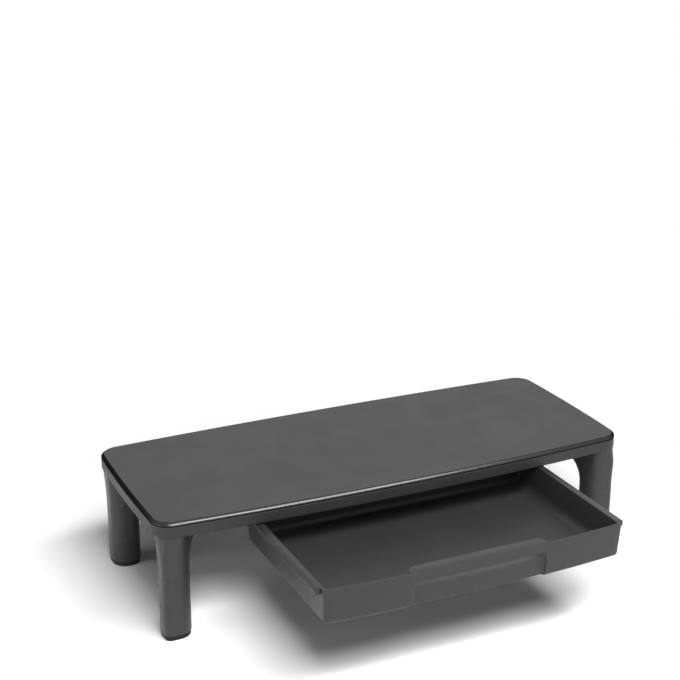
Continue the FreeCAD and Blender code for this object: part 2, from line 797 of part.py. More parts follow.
def drawer_rail():
    """Right-hand rail: leaf over the rim, channel wall, ledge, narrow guide and end wall."""
    length = rail_end_y - rail_start_y
    leaf_in = drawer_width / 2 - rail_cover
    ledge_in = side_half(rail_ledge_z, 0.0) + rail_gap
    base_z = rail_ledge_z - rail_ledge_wall
    flange_x = rail_outer_x + rail_flange
    profile = rounded_wire([
        (leaf_in, rail_leaf_z, 0.0),
        (channel_x, rail_leaf_z, 0.0),
        (channel_x, rail_ledge_z, 0.0),
        (ledge_in, rail_ledge_z, 0.0),
        (ledge_in, base_z, 0.0),
        (rail_outer_x, base_z, 0.0),
        (rail_outer_x, rail_leaf_z, 0.0),
        (flange_x, rail_leaf_z, 0.0),
        (flange_x, rail_top_z, 0.0),
        (leaf_in, rail_top_z, 0.0),
    ], lambda a, b: Vec(a, rail_start_y, b))
    rail = Part.Face(profile).extrude(Vec(0, length, 0))
    inner_height = rail_top_z - base_z
    bite = rail_wall / 2
    guide = rounded_wire([
        (guide_x + rail_guide_lead, rail_start_y, 0.0),
        (channel_x + bite, rail_start_y, 0.0),
        (channel_x + bite, stop_y, 0.0),
        (guide_x, stop_y, 0.0),
        (guide_x, rail_start_y + 2 * rail_guide_lead, 0.0),
    ], lambda a, b: Vec(a, b, base_z))
    end_corner = Vec(leaf_in, rail_end_y - rail_end_wall, base_z)
    end_wall = Part.makeBox(rail_outer_x - leaf_in, rail_end_wall, inner_height, end_corner)
    gussets = []
    for (x, y), (_, next_y) in zip(rail_screw_places(), rail_screw_places()[1:]):
        middle = (y + next_y) / 2 - rail_gusset_wall / 2
        web = rounded_wire([
            (rail_outer_x - bite, rail_top_z - bite, 0.0),
            (rail_outer_x - bite, rail_leaf_z - rail_gusset_size, 0.0),
            (rail_outer_x, rail_leaf_z - rail_gusset_size, 0.0),
            (rail_outer_x + rail_gusset_size, rail_leaf_z, 0.0),
            (rail_outer_x + rail_gusset_size, rail_top_z - bite, 0.0),
        ], lambda a, b: Vec(a, middle, b))
        gussets.append(Part.Face(web).extrude(Vec(0, rail_gusset_wall, 0)))
    rail = rail.fuse([prism(guide, inner_height), end_wall] + gussets)
    drills = []
    for x, y in rail_screw_places():
        hole = Vec(x, y, rail_leaf_z - rail_wall)
        drills.append(Part.makeCylinder(small_screw_radius + shank_fit, 3 * rail_wall, hole))
    return rail.cut(drills).removeSplitter()


def mirrored(shape):
    """Copy of a shape on the other side of the YZ plane."""
    return shape.mirror(Vec(0, 0, 0), Vec(1, 0, 0))


def small_screws(places, seat_z):
    """Group of small screws standing on one level."""
    return Part.makeCompound([
        screw(x, y, seat_z, small_screw_radius, small_screw_length, small_head_radius, small_head_height)
        for x, y in places
    ])


def build():
    """Every piece of the stand, by name."""
    nodes = {"deck_panel": deck_panel(), "skirt_frame": skirt_frame()}
    for place in leg_places():
        name = place[0]
        nodes["upper_leg_" + name] = upper_leg(place)
        nodes["middle_riser_" + name] = riser(place, lower_seam_z)
        nodes["lower_riser_" + name] = riser(place, foot_height)
        nodes["rubber_foot_" + name] = rubber_foot(place)
    nodes["drawer_tray"] = drawer_tray()
    rail = drawer_rail()
    nodes["drawer_rail_right"] = rail
    nodes["drawer_rail_left"] = mirrored(rail)
    nodes["frame_screws"] = small_screws(frame_screw_places(), ledge_top_z - ledge_thickness)
    right = rail_screw_places()
    nodes["rail_screws_right"] = small_screws(right, rail_leaf_z)
    nodes["rail_screws_left"] = small_screws([(-x, y) for x, y in right], rail_leaf_z)
    head_seat_z = skirt_bottom_z - leg_head_depth
    nodes["leg_screws"] = Part.makeCompound([
        screw(x, y, head_seat_z, leg_screw_radius, leg_screw_length, leg_head_radius, leg_head_height)
        for _, _, _, x, y in leg_places()
    ])
    return nodes


os.makedirs("parts", exist_ok=True)
for node_name, node_shape in build().items():
    node_shape.exportStep("parts/" + node_name + ".step")
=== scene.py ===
"""Monitor stand with a drawer: the visible pieces, their finishes, a studio and the camera.

Sizes are in millimetres until a mesh is made, and the model is in metres.
"""

import json
import logging
from collections.abc import Sequence
from dataclasses import dataclass, field
from enum import Enum
from math import asin, atan2, copysign, cos, hypot, pi, radians, sin, sqrt, tau

import bmesh
import bpy
from bpy.types import ID, Material, Mesh, Node, NodeSocket, NodeTree, Object
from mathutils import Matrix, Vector

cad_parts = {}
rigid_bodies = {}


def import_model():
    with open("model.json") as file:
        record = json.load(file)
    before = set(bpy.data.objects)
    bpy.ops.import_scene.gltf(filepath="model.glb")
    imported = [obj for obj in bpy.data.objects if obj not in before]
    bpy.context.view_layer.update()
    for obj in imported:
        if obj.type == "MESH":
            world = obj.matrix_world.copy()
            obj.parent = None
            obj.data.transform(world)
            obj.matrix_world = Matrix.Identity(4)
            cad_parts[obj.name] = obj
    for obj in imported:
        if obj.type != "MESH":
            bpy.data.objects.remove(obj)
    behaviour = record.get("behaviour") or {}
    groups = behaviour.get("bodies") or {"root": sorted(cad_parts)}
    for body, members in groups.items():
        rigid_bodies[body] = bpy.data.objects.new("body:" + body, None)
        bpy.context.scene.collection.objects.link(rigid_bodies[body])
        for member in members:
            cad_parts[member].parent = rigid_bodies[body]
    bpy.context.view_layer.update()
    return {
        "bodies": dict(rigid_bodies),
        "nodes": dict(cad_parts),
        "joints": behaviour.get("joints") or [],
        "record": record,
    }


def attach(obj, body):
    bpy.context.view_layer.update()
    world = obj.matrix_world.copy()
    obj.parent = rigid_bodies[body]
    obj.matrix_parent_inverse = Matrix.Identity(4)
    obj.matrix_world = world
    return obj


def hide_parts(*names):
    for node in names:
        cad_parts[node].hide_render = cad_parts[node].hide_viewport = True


LOG = logging.getLogger("monitor_stand")
MM = 0.001
QUARTER = pi / 2
Point = tuple[float, float, float]
Flat = tuple[float, float]


class Grain(Enum):
    """Surface that a mould leaves on the plastic: width and height of the grain in millimetres."""

    SMOOTH = (2.4, 0.004)
    FINE = (0.75, 0.05)
    PEBBLE = (1.4, 0.15)


def spread(first: float, last: float, count: int) -> list[float]:
    """Values in even steps, one more than count, both ends included."""
    return [first + (last - first) * i / count for i in range(count + 1)]


def smooth_step(value: float) -> float:
    """Value from 0 to 1 eased at both ends."""
    t = min(1.0, max(0.0, value))
    return t * t * (3.0 - 2.0 * t)


def arc_steps(centre: Flat, radius: float, start: float, end: float, count: int) -> list[Flat]:
    """Points along an arc.

    Args:
        centre: Centre of the arc.
        radius: Radius of the arc.
        start: Angle of the first point in radians.
        end: Angle of the last point in radians.
        count: Number of steps.

    Returns:
        The points, both ends included.
    """
    return [(centre[0] + radius * cos(a), centre[1] + radius * sin(a))
            for a in spread(start, end, count)]


def rounding(inset: float, z: float, radius: float, start: float, end: float,
             steps: int) -> list[Flat]:
    """(inset, z) pairs round an edge.

    Args:
        inset: Inset of the arc's centre.
        z: Height of the arc's centre.
        radius: Radius of the edge.
        start: First angle in degrees; 0 points outwards and 90 upwards.
        end: Last angle in degrees.
        steps: Number of steps.

    Returns:
        The pairs, both ends included.
    """
    arc = arc_steps((0.0, z), radius, radians(start), radians(end), steps)
    return [(inset - x, height) for x, height in arc]


def braced(profile: Sequence[Flat], longest: float = 2.0, step: float = 0.15) -> list[Flat]:
    """Add a point close to both ends of each long run, so that flat walls shade flat.

    Args:
        profile: (inset, z) pairs.
        longest: Longest run left as it is.
        step: Distance of the new points from the ends.

    Returns:
        The profile with the new points.
    """
    out = [profile[0]]
    for (x0, z0), (x1, z1) in zip(profile, profile[1:]):
        run = hypot(x1 - x0, z1 - z0)
        if run > longest:
            for share in (step / run, 1.0 - step / run):
                out.append((x0 + (x1 - x0) * share, z0 + (z1 - z0) * share))
        out.append((x1, z1))
    return out


@dataclass
class Shell:
    """Surface of one moulded piece, gathered in millimetres as closed skins."""

    points: list[Point] = field(default_factory=list)
    faces: list[tuple[int, ...]] = field(default_factory=list)
    kinds: list[int] = field(default_factory=list)

    def cap(self, start: int, size: int, kind: int) -> None:
        """Close the loop of points that begins at start with one face."""
        self.faces.append(tuple(range(start, start + size)))
        self.kinds.append(kind)

    def skin(self, loops: Sequence[Sequence[Point]], kinds: Sequence[int] | None = None,
             caps: bool = True, ring: bool = False) -> None:
        """Join loops of equal length into a skin.

        Args:
            loops: Closed loops of points, in order.
            kinds: Material number of each band, or None for 0.
            caps: Close the first and the last loop with a face.
            ring: Join the last loop to the first instead.
        """
        start, size = len(self.points), len(loops[0])
        for loop in loops:
            self.points.extend(loop)
        bands = len(loops) if ring else len(loops) - 1
        kinds = kinds or [0] * bands
        for band in range(bands):
            low = start + band * size
            high = start + ((band + 1) % len(loops)) * size
            for i in range(size):
                j = (i + 1) % size
                self.faces.append((low + i, low + j, high + j, high + i))
                self.kinds.append(kinds[band])
        if caps and not ring:
            self.cap(start, size, kinds[0])
            self.cap(start + (len(loops) - 1) * size, size, kinds[-1])

    def tube(self, x: float, y: float, profile: Sequence[Flat], count: int = 28) -> None:
        """Turned part on an upright axis.

        Args:
            x: Axis position.
            y: Axis position.
            profile: (radius, z) pairs from one end of the skin to the other.
            count: Points round the part.
        """
        self.skin([[(px, py, z) for px, py in arc_steps((x, y), radius, 0.0, tau, count)[:-1]]
                   for radius, z in profile])

    def block(self, low: Point, high: Point, edge: float) -> None:
        """Box with small worn edges.

        Args:
            low: Lowest corner.
            high: Highest corner.
            edge: Width of the worn edge.
        """
        loops = []
        levels = (low[2], low[2] + edge, high[2] - edge, high[2])
        for inset, z in zip((edge, 0.0, 0.0, edge), levels):
            x0, x1, y0, y1 = low[0] + inset, high[0] - inset, low[1] + inset, high[1] - inset
            ring = [(x0 + edge, y0), (x1 - edge, y0), (x1, y0 + edge), (x1, y1 - edge),
                    (x1 - edge, y1), (x0 + edge, y1), (x0, y1 - edge), (x0, y0 + edge)]
            loops.append([(x, y, z) for x, y in ring])
        self.skin(loops)

    def finish(self, name: str, materials: Sequence[Material],
               sharp_degrees: float = 32.0) -> Object:
        """Make the object.

        Args:
            name: Object name.
            materials: Materials in the order of the band numbers.
            sharp_degrees: Edges with a larger turn stay sharp.

        Returns:
            The new object, linked to the scene.
        """
        mesh = bpy.data.meshes.new(name)
        mesh.from_pydata([(x * MM, y * MM, z * MM) for x, y, z in self.points], [], self.faces)
        for material in materials:
            mesh.materials.append(material)
        mesh.polygons.foreach_set("material_index", self.kinds)
        work = bmesh.new()
        work.from_mesh(mesh)
        bmesh.ops.remove_doubles(work, verts=work.verts, dist=1e-7)
        bmesh.ops.recalc_face_normals(work, faces=work.faces)
        work.to_mesh(mesh)
        work.free()
        mesh.polygons.foreach_set("use_smooth", [True] * len(mesh.polygons))
        mesh.set_sharp_from_angle(angle=radians(sharp_degrees))
        return in_scene(name, mesh)


def in_scene(name: str, data: ID) -> Object:
    """Put data in the scene.

    Args:
        name: Object name.
        data: Mesh, lamp or camera.

    Returns:
        The new object, linked to the scene.
    """
    made = bpy.data.objects.new(name, data)
    bpy.context.scene.collection.objects.link(made)
    return made


@dataclass
class Board:
    """Node tree that takes each node together with its inputs."""

    tree: NodeTree

    @classmethod
    def group(cls, name: str, inputs: dict[str, str], outputs: Sequence[str] = ()
              ) -> tuple["Board", Node, Node]:
        """New node group.

        Args:
            name: Name of the group.
            inputs: Kind of each input.
            outputs: Float outputs of a shader group; without them it is a geometry group.

        Returns:
            The board, and the group's input and output nodes.
        """
        tree = bpy.data.node_groups.new(name, "ShaderNodeTree" if outputs else "GeometryNodeTree")
        for label, kind in inputs.items():
            tree.interface.new_socket(label, in_out="INPUT", socket_type="NodeSocket" + kind)
        for label in outputs or ["Geometry"]:
            kind = "NodeSocketFloat" if outputs else "NodeSocketGeometry"
            tree.interface.new_socket(label, in_out="OUTPUT", socket_type=kind)
        board = cls(tree)
        return board, board.add("NodeGroupInput"), board.add("NodeGroupOutput")

    def feed(self, node: Node, inputs: dict[str | int, object]) -> Node:
        """Fill inputs of a node.

        Args:
            node: The node.
            inputs: Output socket to link, or plain value, by input name or number.

        Returns:
            The same node.
        """
        for key, value in inputs.items():
            if isinstance(value, NodeSocket):
                self.tree.links.new(value, node.inputs[key])
            else:
                node.inputs[key].default_value = value
        return node

    def add(self, kind: str, inputs: dict[str | int, object] | None = None,
            **settings: object) -> Node:
        """Add a node.

        Args:
            kind: Type of the node.
            inputs: Output sockets or plain values, by input name or number.
            settings: The node's own settings.

        Returns:
            The new node.
        """
        node = self.tree.nodes.new(kind)
        for name, value in settings.items():
            setattr(node, name, value)
        return self.feed(node, inputs or {})

    def maths(self, operation: str, first: object, second: object) -> NodeSocket:
        """Result of an operation on two values."""
        return self.add("ShaderNodeMath", {0: first, 1: second}, operation=operation).outputs[0]

    def ramp(self, factor: NodeSocket, *stops: tuple[float, Sequence[float]]) -> NodeSocket:
        """Colour between two stops.

        Args:
            factor: Socket that runs from 0 to 1.
            stops: Position and colour of each stop.

        Returns:
            The colour socket.
        """
        node = self.add("ShaderNodeValToRGB", {"Fac": factor})
        for element, (position, colour) in zip(node.color_ramp.elements, stops):
            element.position = position
            element.color = (*colour, 1.0)
        return node.outputs["Color"]

    def seen(self) -> NodeSocket:
        """Find out whether a ray comes from the camera, a gloss or a clear body.

        Returns:
            Socket that is 1 for such rays and 0 for all others.
        """
        path = self.add("ShaderNodeLightPath").outputs
        first = self.maths("MAXIMUM", path["Is Camera Ray"], path["Is Glossy Ray"])
        return self.maths("MAXIMUM", first, path["Is Transmission Ray"])


class ShaderGroups:
    """Shader node groups that several finishes share, each built once."""

    def __init__(self) -> None:
        """Build both groups."""
        self.grain = self._grain()
        self.handling = self._handling()

    def _grain(self) -> NodeTree:
        """Moulded grain: a height in metres and a slight change of tone.

        Returns:
            The group.
        """
        board, source, target = Board.group("moulded_grain", {
            "Grain width": "Float", "Grain height": "Float"}, ["Height", "Tone"])
        place = board.add("ShaderNodeTexCoord").outputs["Object"]
        scale = board.maths("DIVIDE", 1.0, source.outputs["Grain width"])
        cells = board.add("ShaderNodeTexVoronoi", {"Vector": place, "Scale": scale,
                                                   "Smoothness": 0.6}, feature="SMOOTH_F1")
        noise = board.add("ShaderNodeTexNoise", {"Vector": place, "Scale": scale, "Detail": 3.0,
                                                 "Roughness": 0.55}).outputs["Fac"]
        both = board.maths("ADD", cells.outputs["Distance"], noise)
        height = board.maths("MULTIPLY", both, source.outputs["Grain height"])
        board.feed(target, {"Height": height, "Tone": noise})
        return board.tree

    def _handling(self) -> NodeTree:
        """Broad, faint change of gloss where hands and cloths have been.

        Returns:
            The group.
        """
        board, source, target = Board.group("handling_marks", {
            "Patch size": "Float", "Low": "Float", "High": "Float"}, ["Roughness"])
        place = board.add("ShaderNodeTexCoord").outputs["Object"]
        scale = board.maths("DIVIDE", 1.0, source.outputs["Patch size"])
        noise = board.add("ShaderNodeTexNoise", {"Vector": place, "Scale": scale, "Detail": 4.0,
                                                 "Distortion": 0.4})
        span = board.add("ShaderNodeMapRange", {
            "Value": noise.outputs["Fac"], "From Min": 0.35, "From Max": 0.65,
            "To Min": source.outputs["Low"], "To Max": source.outputs["High"]})
        board.feed(target, {"Roughness": span.outputs["Result"]})
        return board.tree

    def material(self, name: str, patch: float, roughness: Flat) -> tuple[Material, Board, Node]:
        """New material with handling marks in its roughness.

        Args:
            name: Material name.
            patch: Size of the marks in millimetres.
            roughness: Lowest and highest roughness.

        Returns:
            The material, its board and its shader node.
        """
        material = bpy.data.materials.new(name)
        material.use_nodes = True
        board = Board(material.node_tree)
        marks = board.add("ShaderNodeGroup", {
            "Patch size": patch * MM, "Low": roughness[0], "High": roughness[1]},
            node_tree=self.handling)
        shader = material.node_tree.nodes["Principled BSDF"]
        board.feed(shader, {"Roughness": marks.outputs["Roughness"]})
        return material, board, shader


@dataclass(frozen=True)
class PlasticFinish:
    """Moulded plastic or rubber with a grain, a tone and handling marks."""

    name: str
    colour: tuple[float, float, float]
    roughness: Flat
    grain: Grain
    specular: float = 0.5
    tone: float = 0.12
    patch: float = 60.0
    grazing: float = 1.0
    turned_away: Flat = (0.22, 0.5)

    def build(self, groups: ShaderGroups) -> Material:
        """Make the material.

        Args:
            groups: Shared shader groups.

        Returns:
            The material.
        """
        material, board, shader = groups.material(self.name, self.patch, self.roughness)
        width, height = self.grain.value
        grain = board.add("ShaderNodeGroup", {
            "Grain width": width * MM, "Grain height": height * MM}, node_tree=groups.grain)
        dark, light = ([c * (1.0 + change) for c in self.colour]
                       for change in (-self.tone, self.tone))
        tint = board.ramp(grain.outputs["Tone"], (0.3, dark), (0.7, light))
        bump = board.add("ShaderNodeBump", {"Strength": 1.0, "Distance": 1.0,
                                            "Height": grain.outputs["Height"]})
        board.feed(shader, {"Base Color": tint, "Normal": bump.outputs["Normal"],
                            "Specular IOR Level": self.specular})
        if self.grazing < 1.0:
            gloss = board.add("ShaderNodeMapRange", {
                "Value": board.add("ShaderNodeLayerWeight").outputs["Facing"],
                "From Min": self.turned_away[0], "From Max": self.turned_away[1],
                "To Min": self.specular, "To Max": self.specular * self.grazing})
            board.feed(shader, {"Specular IOR Level": gloss.outputs["Result"]})
        return material


@dataclass(frozen=True)
class SteelFinish:
    """Zinc-plated screw steel with fine turning marks."""

    name: str
    colour: tuple[float, float, float] = (0.52, 0.52, 0.54)
    roughness: Flat = (0.28, 0.42)
    patch: float = 1.5

    def build(self, groups: ShaderGroups) -> Material:
        """Make the material.

        Args:
            groups: Shared shader groups.

        Returns:
            The material.
        """
        material, board, shader = groups.material(self.name, self.patch, self.roughness)
        board.feed(shader, {"Base Color": (*self.colour, 1.0), "Metallic": 1.0})
        return material


class Finishes:
    """Every material of the stand."""

    def __init__(self) -> None:
        """Build the materials."""
        groups = ShaderGroups()
        self.deck = PlasticFinish("deck_grained_plastic", (0.034, 0.034, 0.036), (0.5, 0.58),
                                  Grain.PEBBLE, 0.3, 0.22).build(groups)
        self.deck_edge = PlasticFinish("deck_edge_smooth", (0.008, 0.008, 0.009), (0.18, 0.24),
                                       Grain.SMOOTH, 0.36, grazing=0.0).build(groups)
        self.skirt = PlasticFinish("skirt_grained_plastic", (0.02, 0.02, 0.021), (0.42, 0.5),
                                   Grain.FINE, 0.3).build(groups)
        self.leg = PlasticFinish("leg_satin_plastic", (0.02, 0.02, 0.021), (0.32, 0.4),
                                 Grain.FINE, 0.4).build(groups)
        self.foot = PlasticFinish("foot_rubber", (0.007, 0.007, 0.007), (0.62, 0.72),
                                  Grain.SMOOTH, 0.25).build(groups)
        self.drawer = PlasticFinish("drawer_satin_plastic", (0.019, 0.019, 0.02), (0.34, 0.42),
                                    Grain.FINE, 0.38).build(groups)
        self.drawer_inside = PlasticFinish("drawer_inside_grain", (0.024, 0.024, 0.025),
                                           (0.42, 0.5), Grain.FINE, 0.35).build(groups)
        self.rail = PlasticFinish("rail_smooth_plastic", (0.028, 0.028, 0.028), (0.3, 0.4),
                                  Grain.SMOOTH).build(groups)
        self.steel = SteelFinish("screw_zinc_steel").build(groups)


@dataclass
class Outline:
    """Bowed platform outline of eight arcs that touch, kept concentric at every inset."""

    width: float = 540.0
    depth: float = 220.0
    front_bow: float = 10.0
    back_bow: float = 6.0
    side_bow: float = 3.0
    corner: float = 21.0
    steps: tuple[int, ...] = (56, 12, 22, 12, 48, 12, 22, 12)
    arcs: list[tuple[Flat, float, float, float, int]] = field(init=False)

    def __post_init__(self) -> None:
        """Work out the arcs, from the front bow round by the right side."""
        half_w, half_d = self.width / 2, self.depth / 2
        front = (half_w ** 2 + self.front_bow ** 2) / (2 * self.front_bow)
        back = (half_w ** 2 + self.back_bow ** 2) / (2 * self.back_bow)
        side = (half_d ** 2 + self.side_bow ** 2) / (2 * self.side_bow)
        front_c, back_c, side_c = (0.0, front - half_d), (0.0, half_d - back), (half_w - side, 0.0)
        low = self._corner(front_c, front, side_c, side, -1)
        high = self._corner(back_c, back, side_c, side, 1)
        centres = [front_c, low, side_c, high, back_c, (-high[0], high[1]), (-side_c[0], 0.0),
                   (-low[0], low[1])]
        radii = [front, self.corner, side, self.corner, back, self.corner, side, self.corner]
        turns = []
        for k, centre in enumerate(centres):
            bow, end = (centre, centres[k + 1]) if k % 2 == 0 else (centres[(k + 1) % 8], centre)
            turns.append(atan2(end[1] - bow[1], end[0] - bow[0]))
        self.arcs = []
        for k, (centre, radius, steps) in enumerate(zip(centres, radii, self.steps)):
            start = turns[k - 1]
            self.arcs.append((centre, radius, start, start + (turns[k] - start) % tau, steps))

    def _corner(self, end_c: Flat, end_r: float, side_c: Flat, side_r: float, sign: int) -> Flat:
        """Centre of the corner circle that touches two bows from inside.

        Args:
            end_c: Centre of the front or back bow.
            end_r: Its radius.
            side_c: Centre of the side bow.
            side_r: Its radius.
            sign: -1 at the front and 1 at the back.

        Returns:
            The centre.
        """
        a, b = end_r - self.corner, side_r - self.corner
        dx, dy = end_c[0] - side_c[0], end_c[1] - side_c[1]
        gap = hypot(dx, dy)
        along = (gap ** 2 + b ** 2 - a ** 2) / (2 * gap)
        off = sqrt(b ** 2 - along ** 2)
        found = (0.0, 0.0)
        for way in (-1, 1):
            x = side_c[0] + dx / gap * along - way * dy / gap * off
            y = side_c[1] + dy / gap * along + way * dx / gap * off
            if x > 0 and y * sign > 0:
                found = (x, y)
        return found

    def at(self, inset: float, z: float) -> list[Point]:
        """Closed loop of the outline moved inwards by inset, at height z."""
        return [(x, y, z) for centre, radius, start, end, steps in self.arcs
                for x, y in arc_steps(centre, radius - inset, start, end, steps)[:-1]]

    def kept(self, x: float, y: float, inset: float) -> Flat:
        """Move a point inside the outline if it lies beyond it.

        Args:
            x: Place of the point.
            y: Place of the point.
            inset: How far inside the outline it has to lie.

        Returns:
            The place inside.
        """
        (cx, cy), radius = self.arcs[1 if y < 0 else 3][0], self.corner - inset
        far = (abs(x) - cx, (y - cy) * (-1 if y < 0 else 1))
        gap = hypot(*far)
        if min(far) > 0.0 and gap > radius:
            return (copysign(cx + far[0] * radius / gap, x), cy + (y - cy) * radius / gap)
        side = self.side_x(y, inset)
        held = max(-side, min(side, x))
        return (held, max(self.front_y(held, inset), min(self.back_y(held, inset), y)))

    def front_y(self, x: float, inset: float) -> float:
        """Y of the front bow at x, moved inwards."""
        centre, radius = self.arcs[0][:2]
        return centre[1] - sqrt((radius - inset) ** 2 - x ** 2)

    def back_y(self, x: float, inset: float) -> float:
        """Y of the back bow at x, moved inwards."""
        centre, radius = self.arcs[4][:2]
        return centre[1] + sqrt((radius - inset) ** 2 - x ** 2)

    def side_x(self, y: float, inset: float) -> float:
        """X of the right side at y, moved inwards."""
        centre, radius = self.arcs[2][:2]
        return centre[0] + sqrt((radius - inset) ** 2 - y ** 2)


@dataclass
class Leg:
    """One leg: its place, its section of four corner circles and the flare at its head.

    side is -1 at the left and 1 at the right, and end is -1 at the front and 1 at the back.
    """

    name: str
    side: int
    end: int
    x: float
    y: float
    size: float = 31.0
    outer_radius: float = 7.5
    side_radius: float = 15.4
    inner_radius: float = 13.0
    wall: float = 2.5
    seam: float = 0.5
    head_z: float = 66.0
    top_z: float = 112.8
    straight: float = 1.0
    flare_reach: float = 32.5
    out_side: float = 2.0
    out_front: float = 1.2
    out_back: float = 3.0
    riser: float = 30.5
    socket: float = 15.0
    spigot: float = 12.0
    spigot_fit: float = 0.3
    spigot_wall: float = 2.0
    levels: tuple[tuple[str, float], ...] = (("middle", 35.5), ("lower", 5.0))
    arc_count: int = 11
    blend_z: float = 92.0
    blend_inset: float = 0.5
    outline: Outline = field(default_factory=Outline)

    def section(self, z: float, inset: float, flare: float = 0.0,
                out: Flat = (0.0, 0.0)) -> list[Point]:
        """Leg outline at a height.

        Args:
            z: Height.
            inset: How far inside the leg's face.
            flare: How far the inner corner is drawn along the diagonal.
            out: How far the two outer faces are moved out.

        Returns:
            Closed loop of points.
        """
        half = self.size / 2
        o, s = half - self.outer_radius, half - self.side_radius
        i = half - self.inner_radius + flare / sqrt(2)
        circles = [(o + out[0], o + out[1], self.outer_radius - inset),
                   (-s, s + out[1], self.side_radius - inset),
                   (-i, -i, self.inner_radius - inset),
                   (s + out[0], -s, self.side_radius - inset)]
        normals = []
        for k, (x, y, r) in enumerate(circles):
            nx, ny, nr = circles[(k + 1) % 4]
            gap = hypot(nx - x, ny - y)
            ex, ey, along = (nx - x) / gap, (ny - y) / gap, (r - nr) / gap
            across = sqrt(1 - along ** 2)
            normals.append(atan2(along * ey - across * ex, along * ex + across * ey))
        loop: list[Point] = []
        for k, (x, y, r) in enumerate(circles):
            end = normals[k - 1] + (normals[k] - normals[k - 1] + pi) % tau - pi
            for px, py in arc_steps((x, y), r, normals[k - 1], end, self.arc_count):
                loop.append((self.x + self.side * px, self.y + self.end * py, z))
        return loop

    def flare_curve(self) -> tuple[float, float, float]:
        """Work out the flare of the head.

        Returns:
            The height where it begins, its rise and the radius of its curve.
        """
        start = self.head_z + self.straight
        rise = self.top_z - start
        return start, rise, (rise ** 2 + self.flare_reach ** 2) / (2 * self.flare_reach)

    def flared(self, z: float, inset: float) -> list[Point]:
        """Section of the flared head, which blends inside the platform's corner near its top.

        Args:
            z: Height.
            inset: How far inside the head's face.

        Returns:
            Closed loop of points.
        """
        start, rise, radius = self.flare_curve()
        height = max(0.0, z - start)
        flare = radius - sqrt(radius ** 2 - height ** 2)
        share = (height / rise) ** 2
        end = self.out_front if self.end < 0 else self.out_back
        ring = self.section(z, inset, flare, (self.out_side * share, end * share))
        under = smooth_step((z - self.blend_z) / (self.top_z - self.blend_z))
        kept = [self.outline.kept(x, y, inset + self.blend_inset) for x, y, _ in ring]
        return [(x + (k[0] - x) * under, y + (k[1] - y) * under, z)
                for (x, y, _), k in zip(ring, kept)]

    def lower_end(self, low: float) -> list[Flat]:
        """Socket and the soft lower end round it.

        Args:
            low: Height of the lower end.

        Returns:
            (inset, z) pairs.
        """
        wall, c = self.wall, self.seam
        return [(wall, low + self.socket), (wall, low + 0.6), (wall - 0.5, low), (c, low),
                (c * 0.3, low + c * 0.3), (0.0, low + c)]

    def head(self, finishes: Finishes) -> Object:
        """Flared leg head with the socket in its lower end.

        Args:
            finishes: The materials.

        Returns:
            The head.
        """
        start, rise, radius = self.flare_curve()
        loops = [self.section(z, inset) for inset, z in self.lower_end(self.head_z)]
        loops += [self.flared(start + radius * sin(a), 0.0)
                  for a in spread(0.0, asin(rise / radius), 20)]
        shell = Shell()
        shell.skin(loops)
        return shell.finish("leg_head_" + self.name, [finishes.leg])

    def riser_piece(self, level: str, low: float, finishes: Finishes) -> Object:
        """Stacking riser: socket below, hollow spigot above.

        Args:
            level: Name of its level.
            low: Height of its lower end.
            finishes: The materials.

        Returns:
            The riser.
        """
        high, neck, c = low + self.riser, self.wall + self.spigot_fit, self.seam
        tip, bore = high + self.spigot, neck + self.spigot_wall
        plan = self.lower_end(low) + [
            (0.0, high - c), (c * 0.3, high - c * 0.3), (c, high), (neck, high), (neck, tip - 1.0),
            (neck + 0.3, tip - 0.3), (neck + 1.0, tip), (bore, tip),
            (bore, low + self.socket + self.wall)]
        shell = Shell()
        shell.skin([self.section(z, inset) for inset, z in braced(plan)])
        return shell.finish(f"{level}_leg_block_{self.name}", [finishes.leg])

    def foot(self, finishes: Finishes) -> Object:
        """Rubber foot with a neck groove and a plug.

        Args:
            finishes: The materials.

        Returns:
            The foot.
        """
        plan = [(5.0, 1.0), (5.0, 0.25), (4.7, 0.0), (1.6, 0.0), (1.05, 0.25), (0.8, 0.8),
                (0.8, 3.9), (0.95, 4.2), (1.25, 4.3), (1.6, 4.3), (1.6, 5.0), (2.6, 5.02),
                (2.6, 11.6), (3.6, 12.65)]
        shell = Shell()
        shell.skin([self.section(z, inset) for inset, z in braced(plan)])
        return shell.finish("foot_pad_" + self.name, [finishes.foot])


LEGS = [Leg("front_right", 1, -1, 247.5, -85.0), Leg("front_left", -1, -1, -247.5, -85.0),
        Leg("back_right", 1, 1, 247.5, 84.0), Leg("back_left", -1, 1, -247.5, 84.0)]


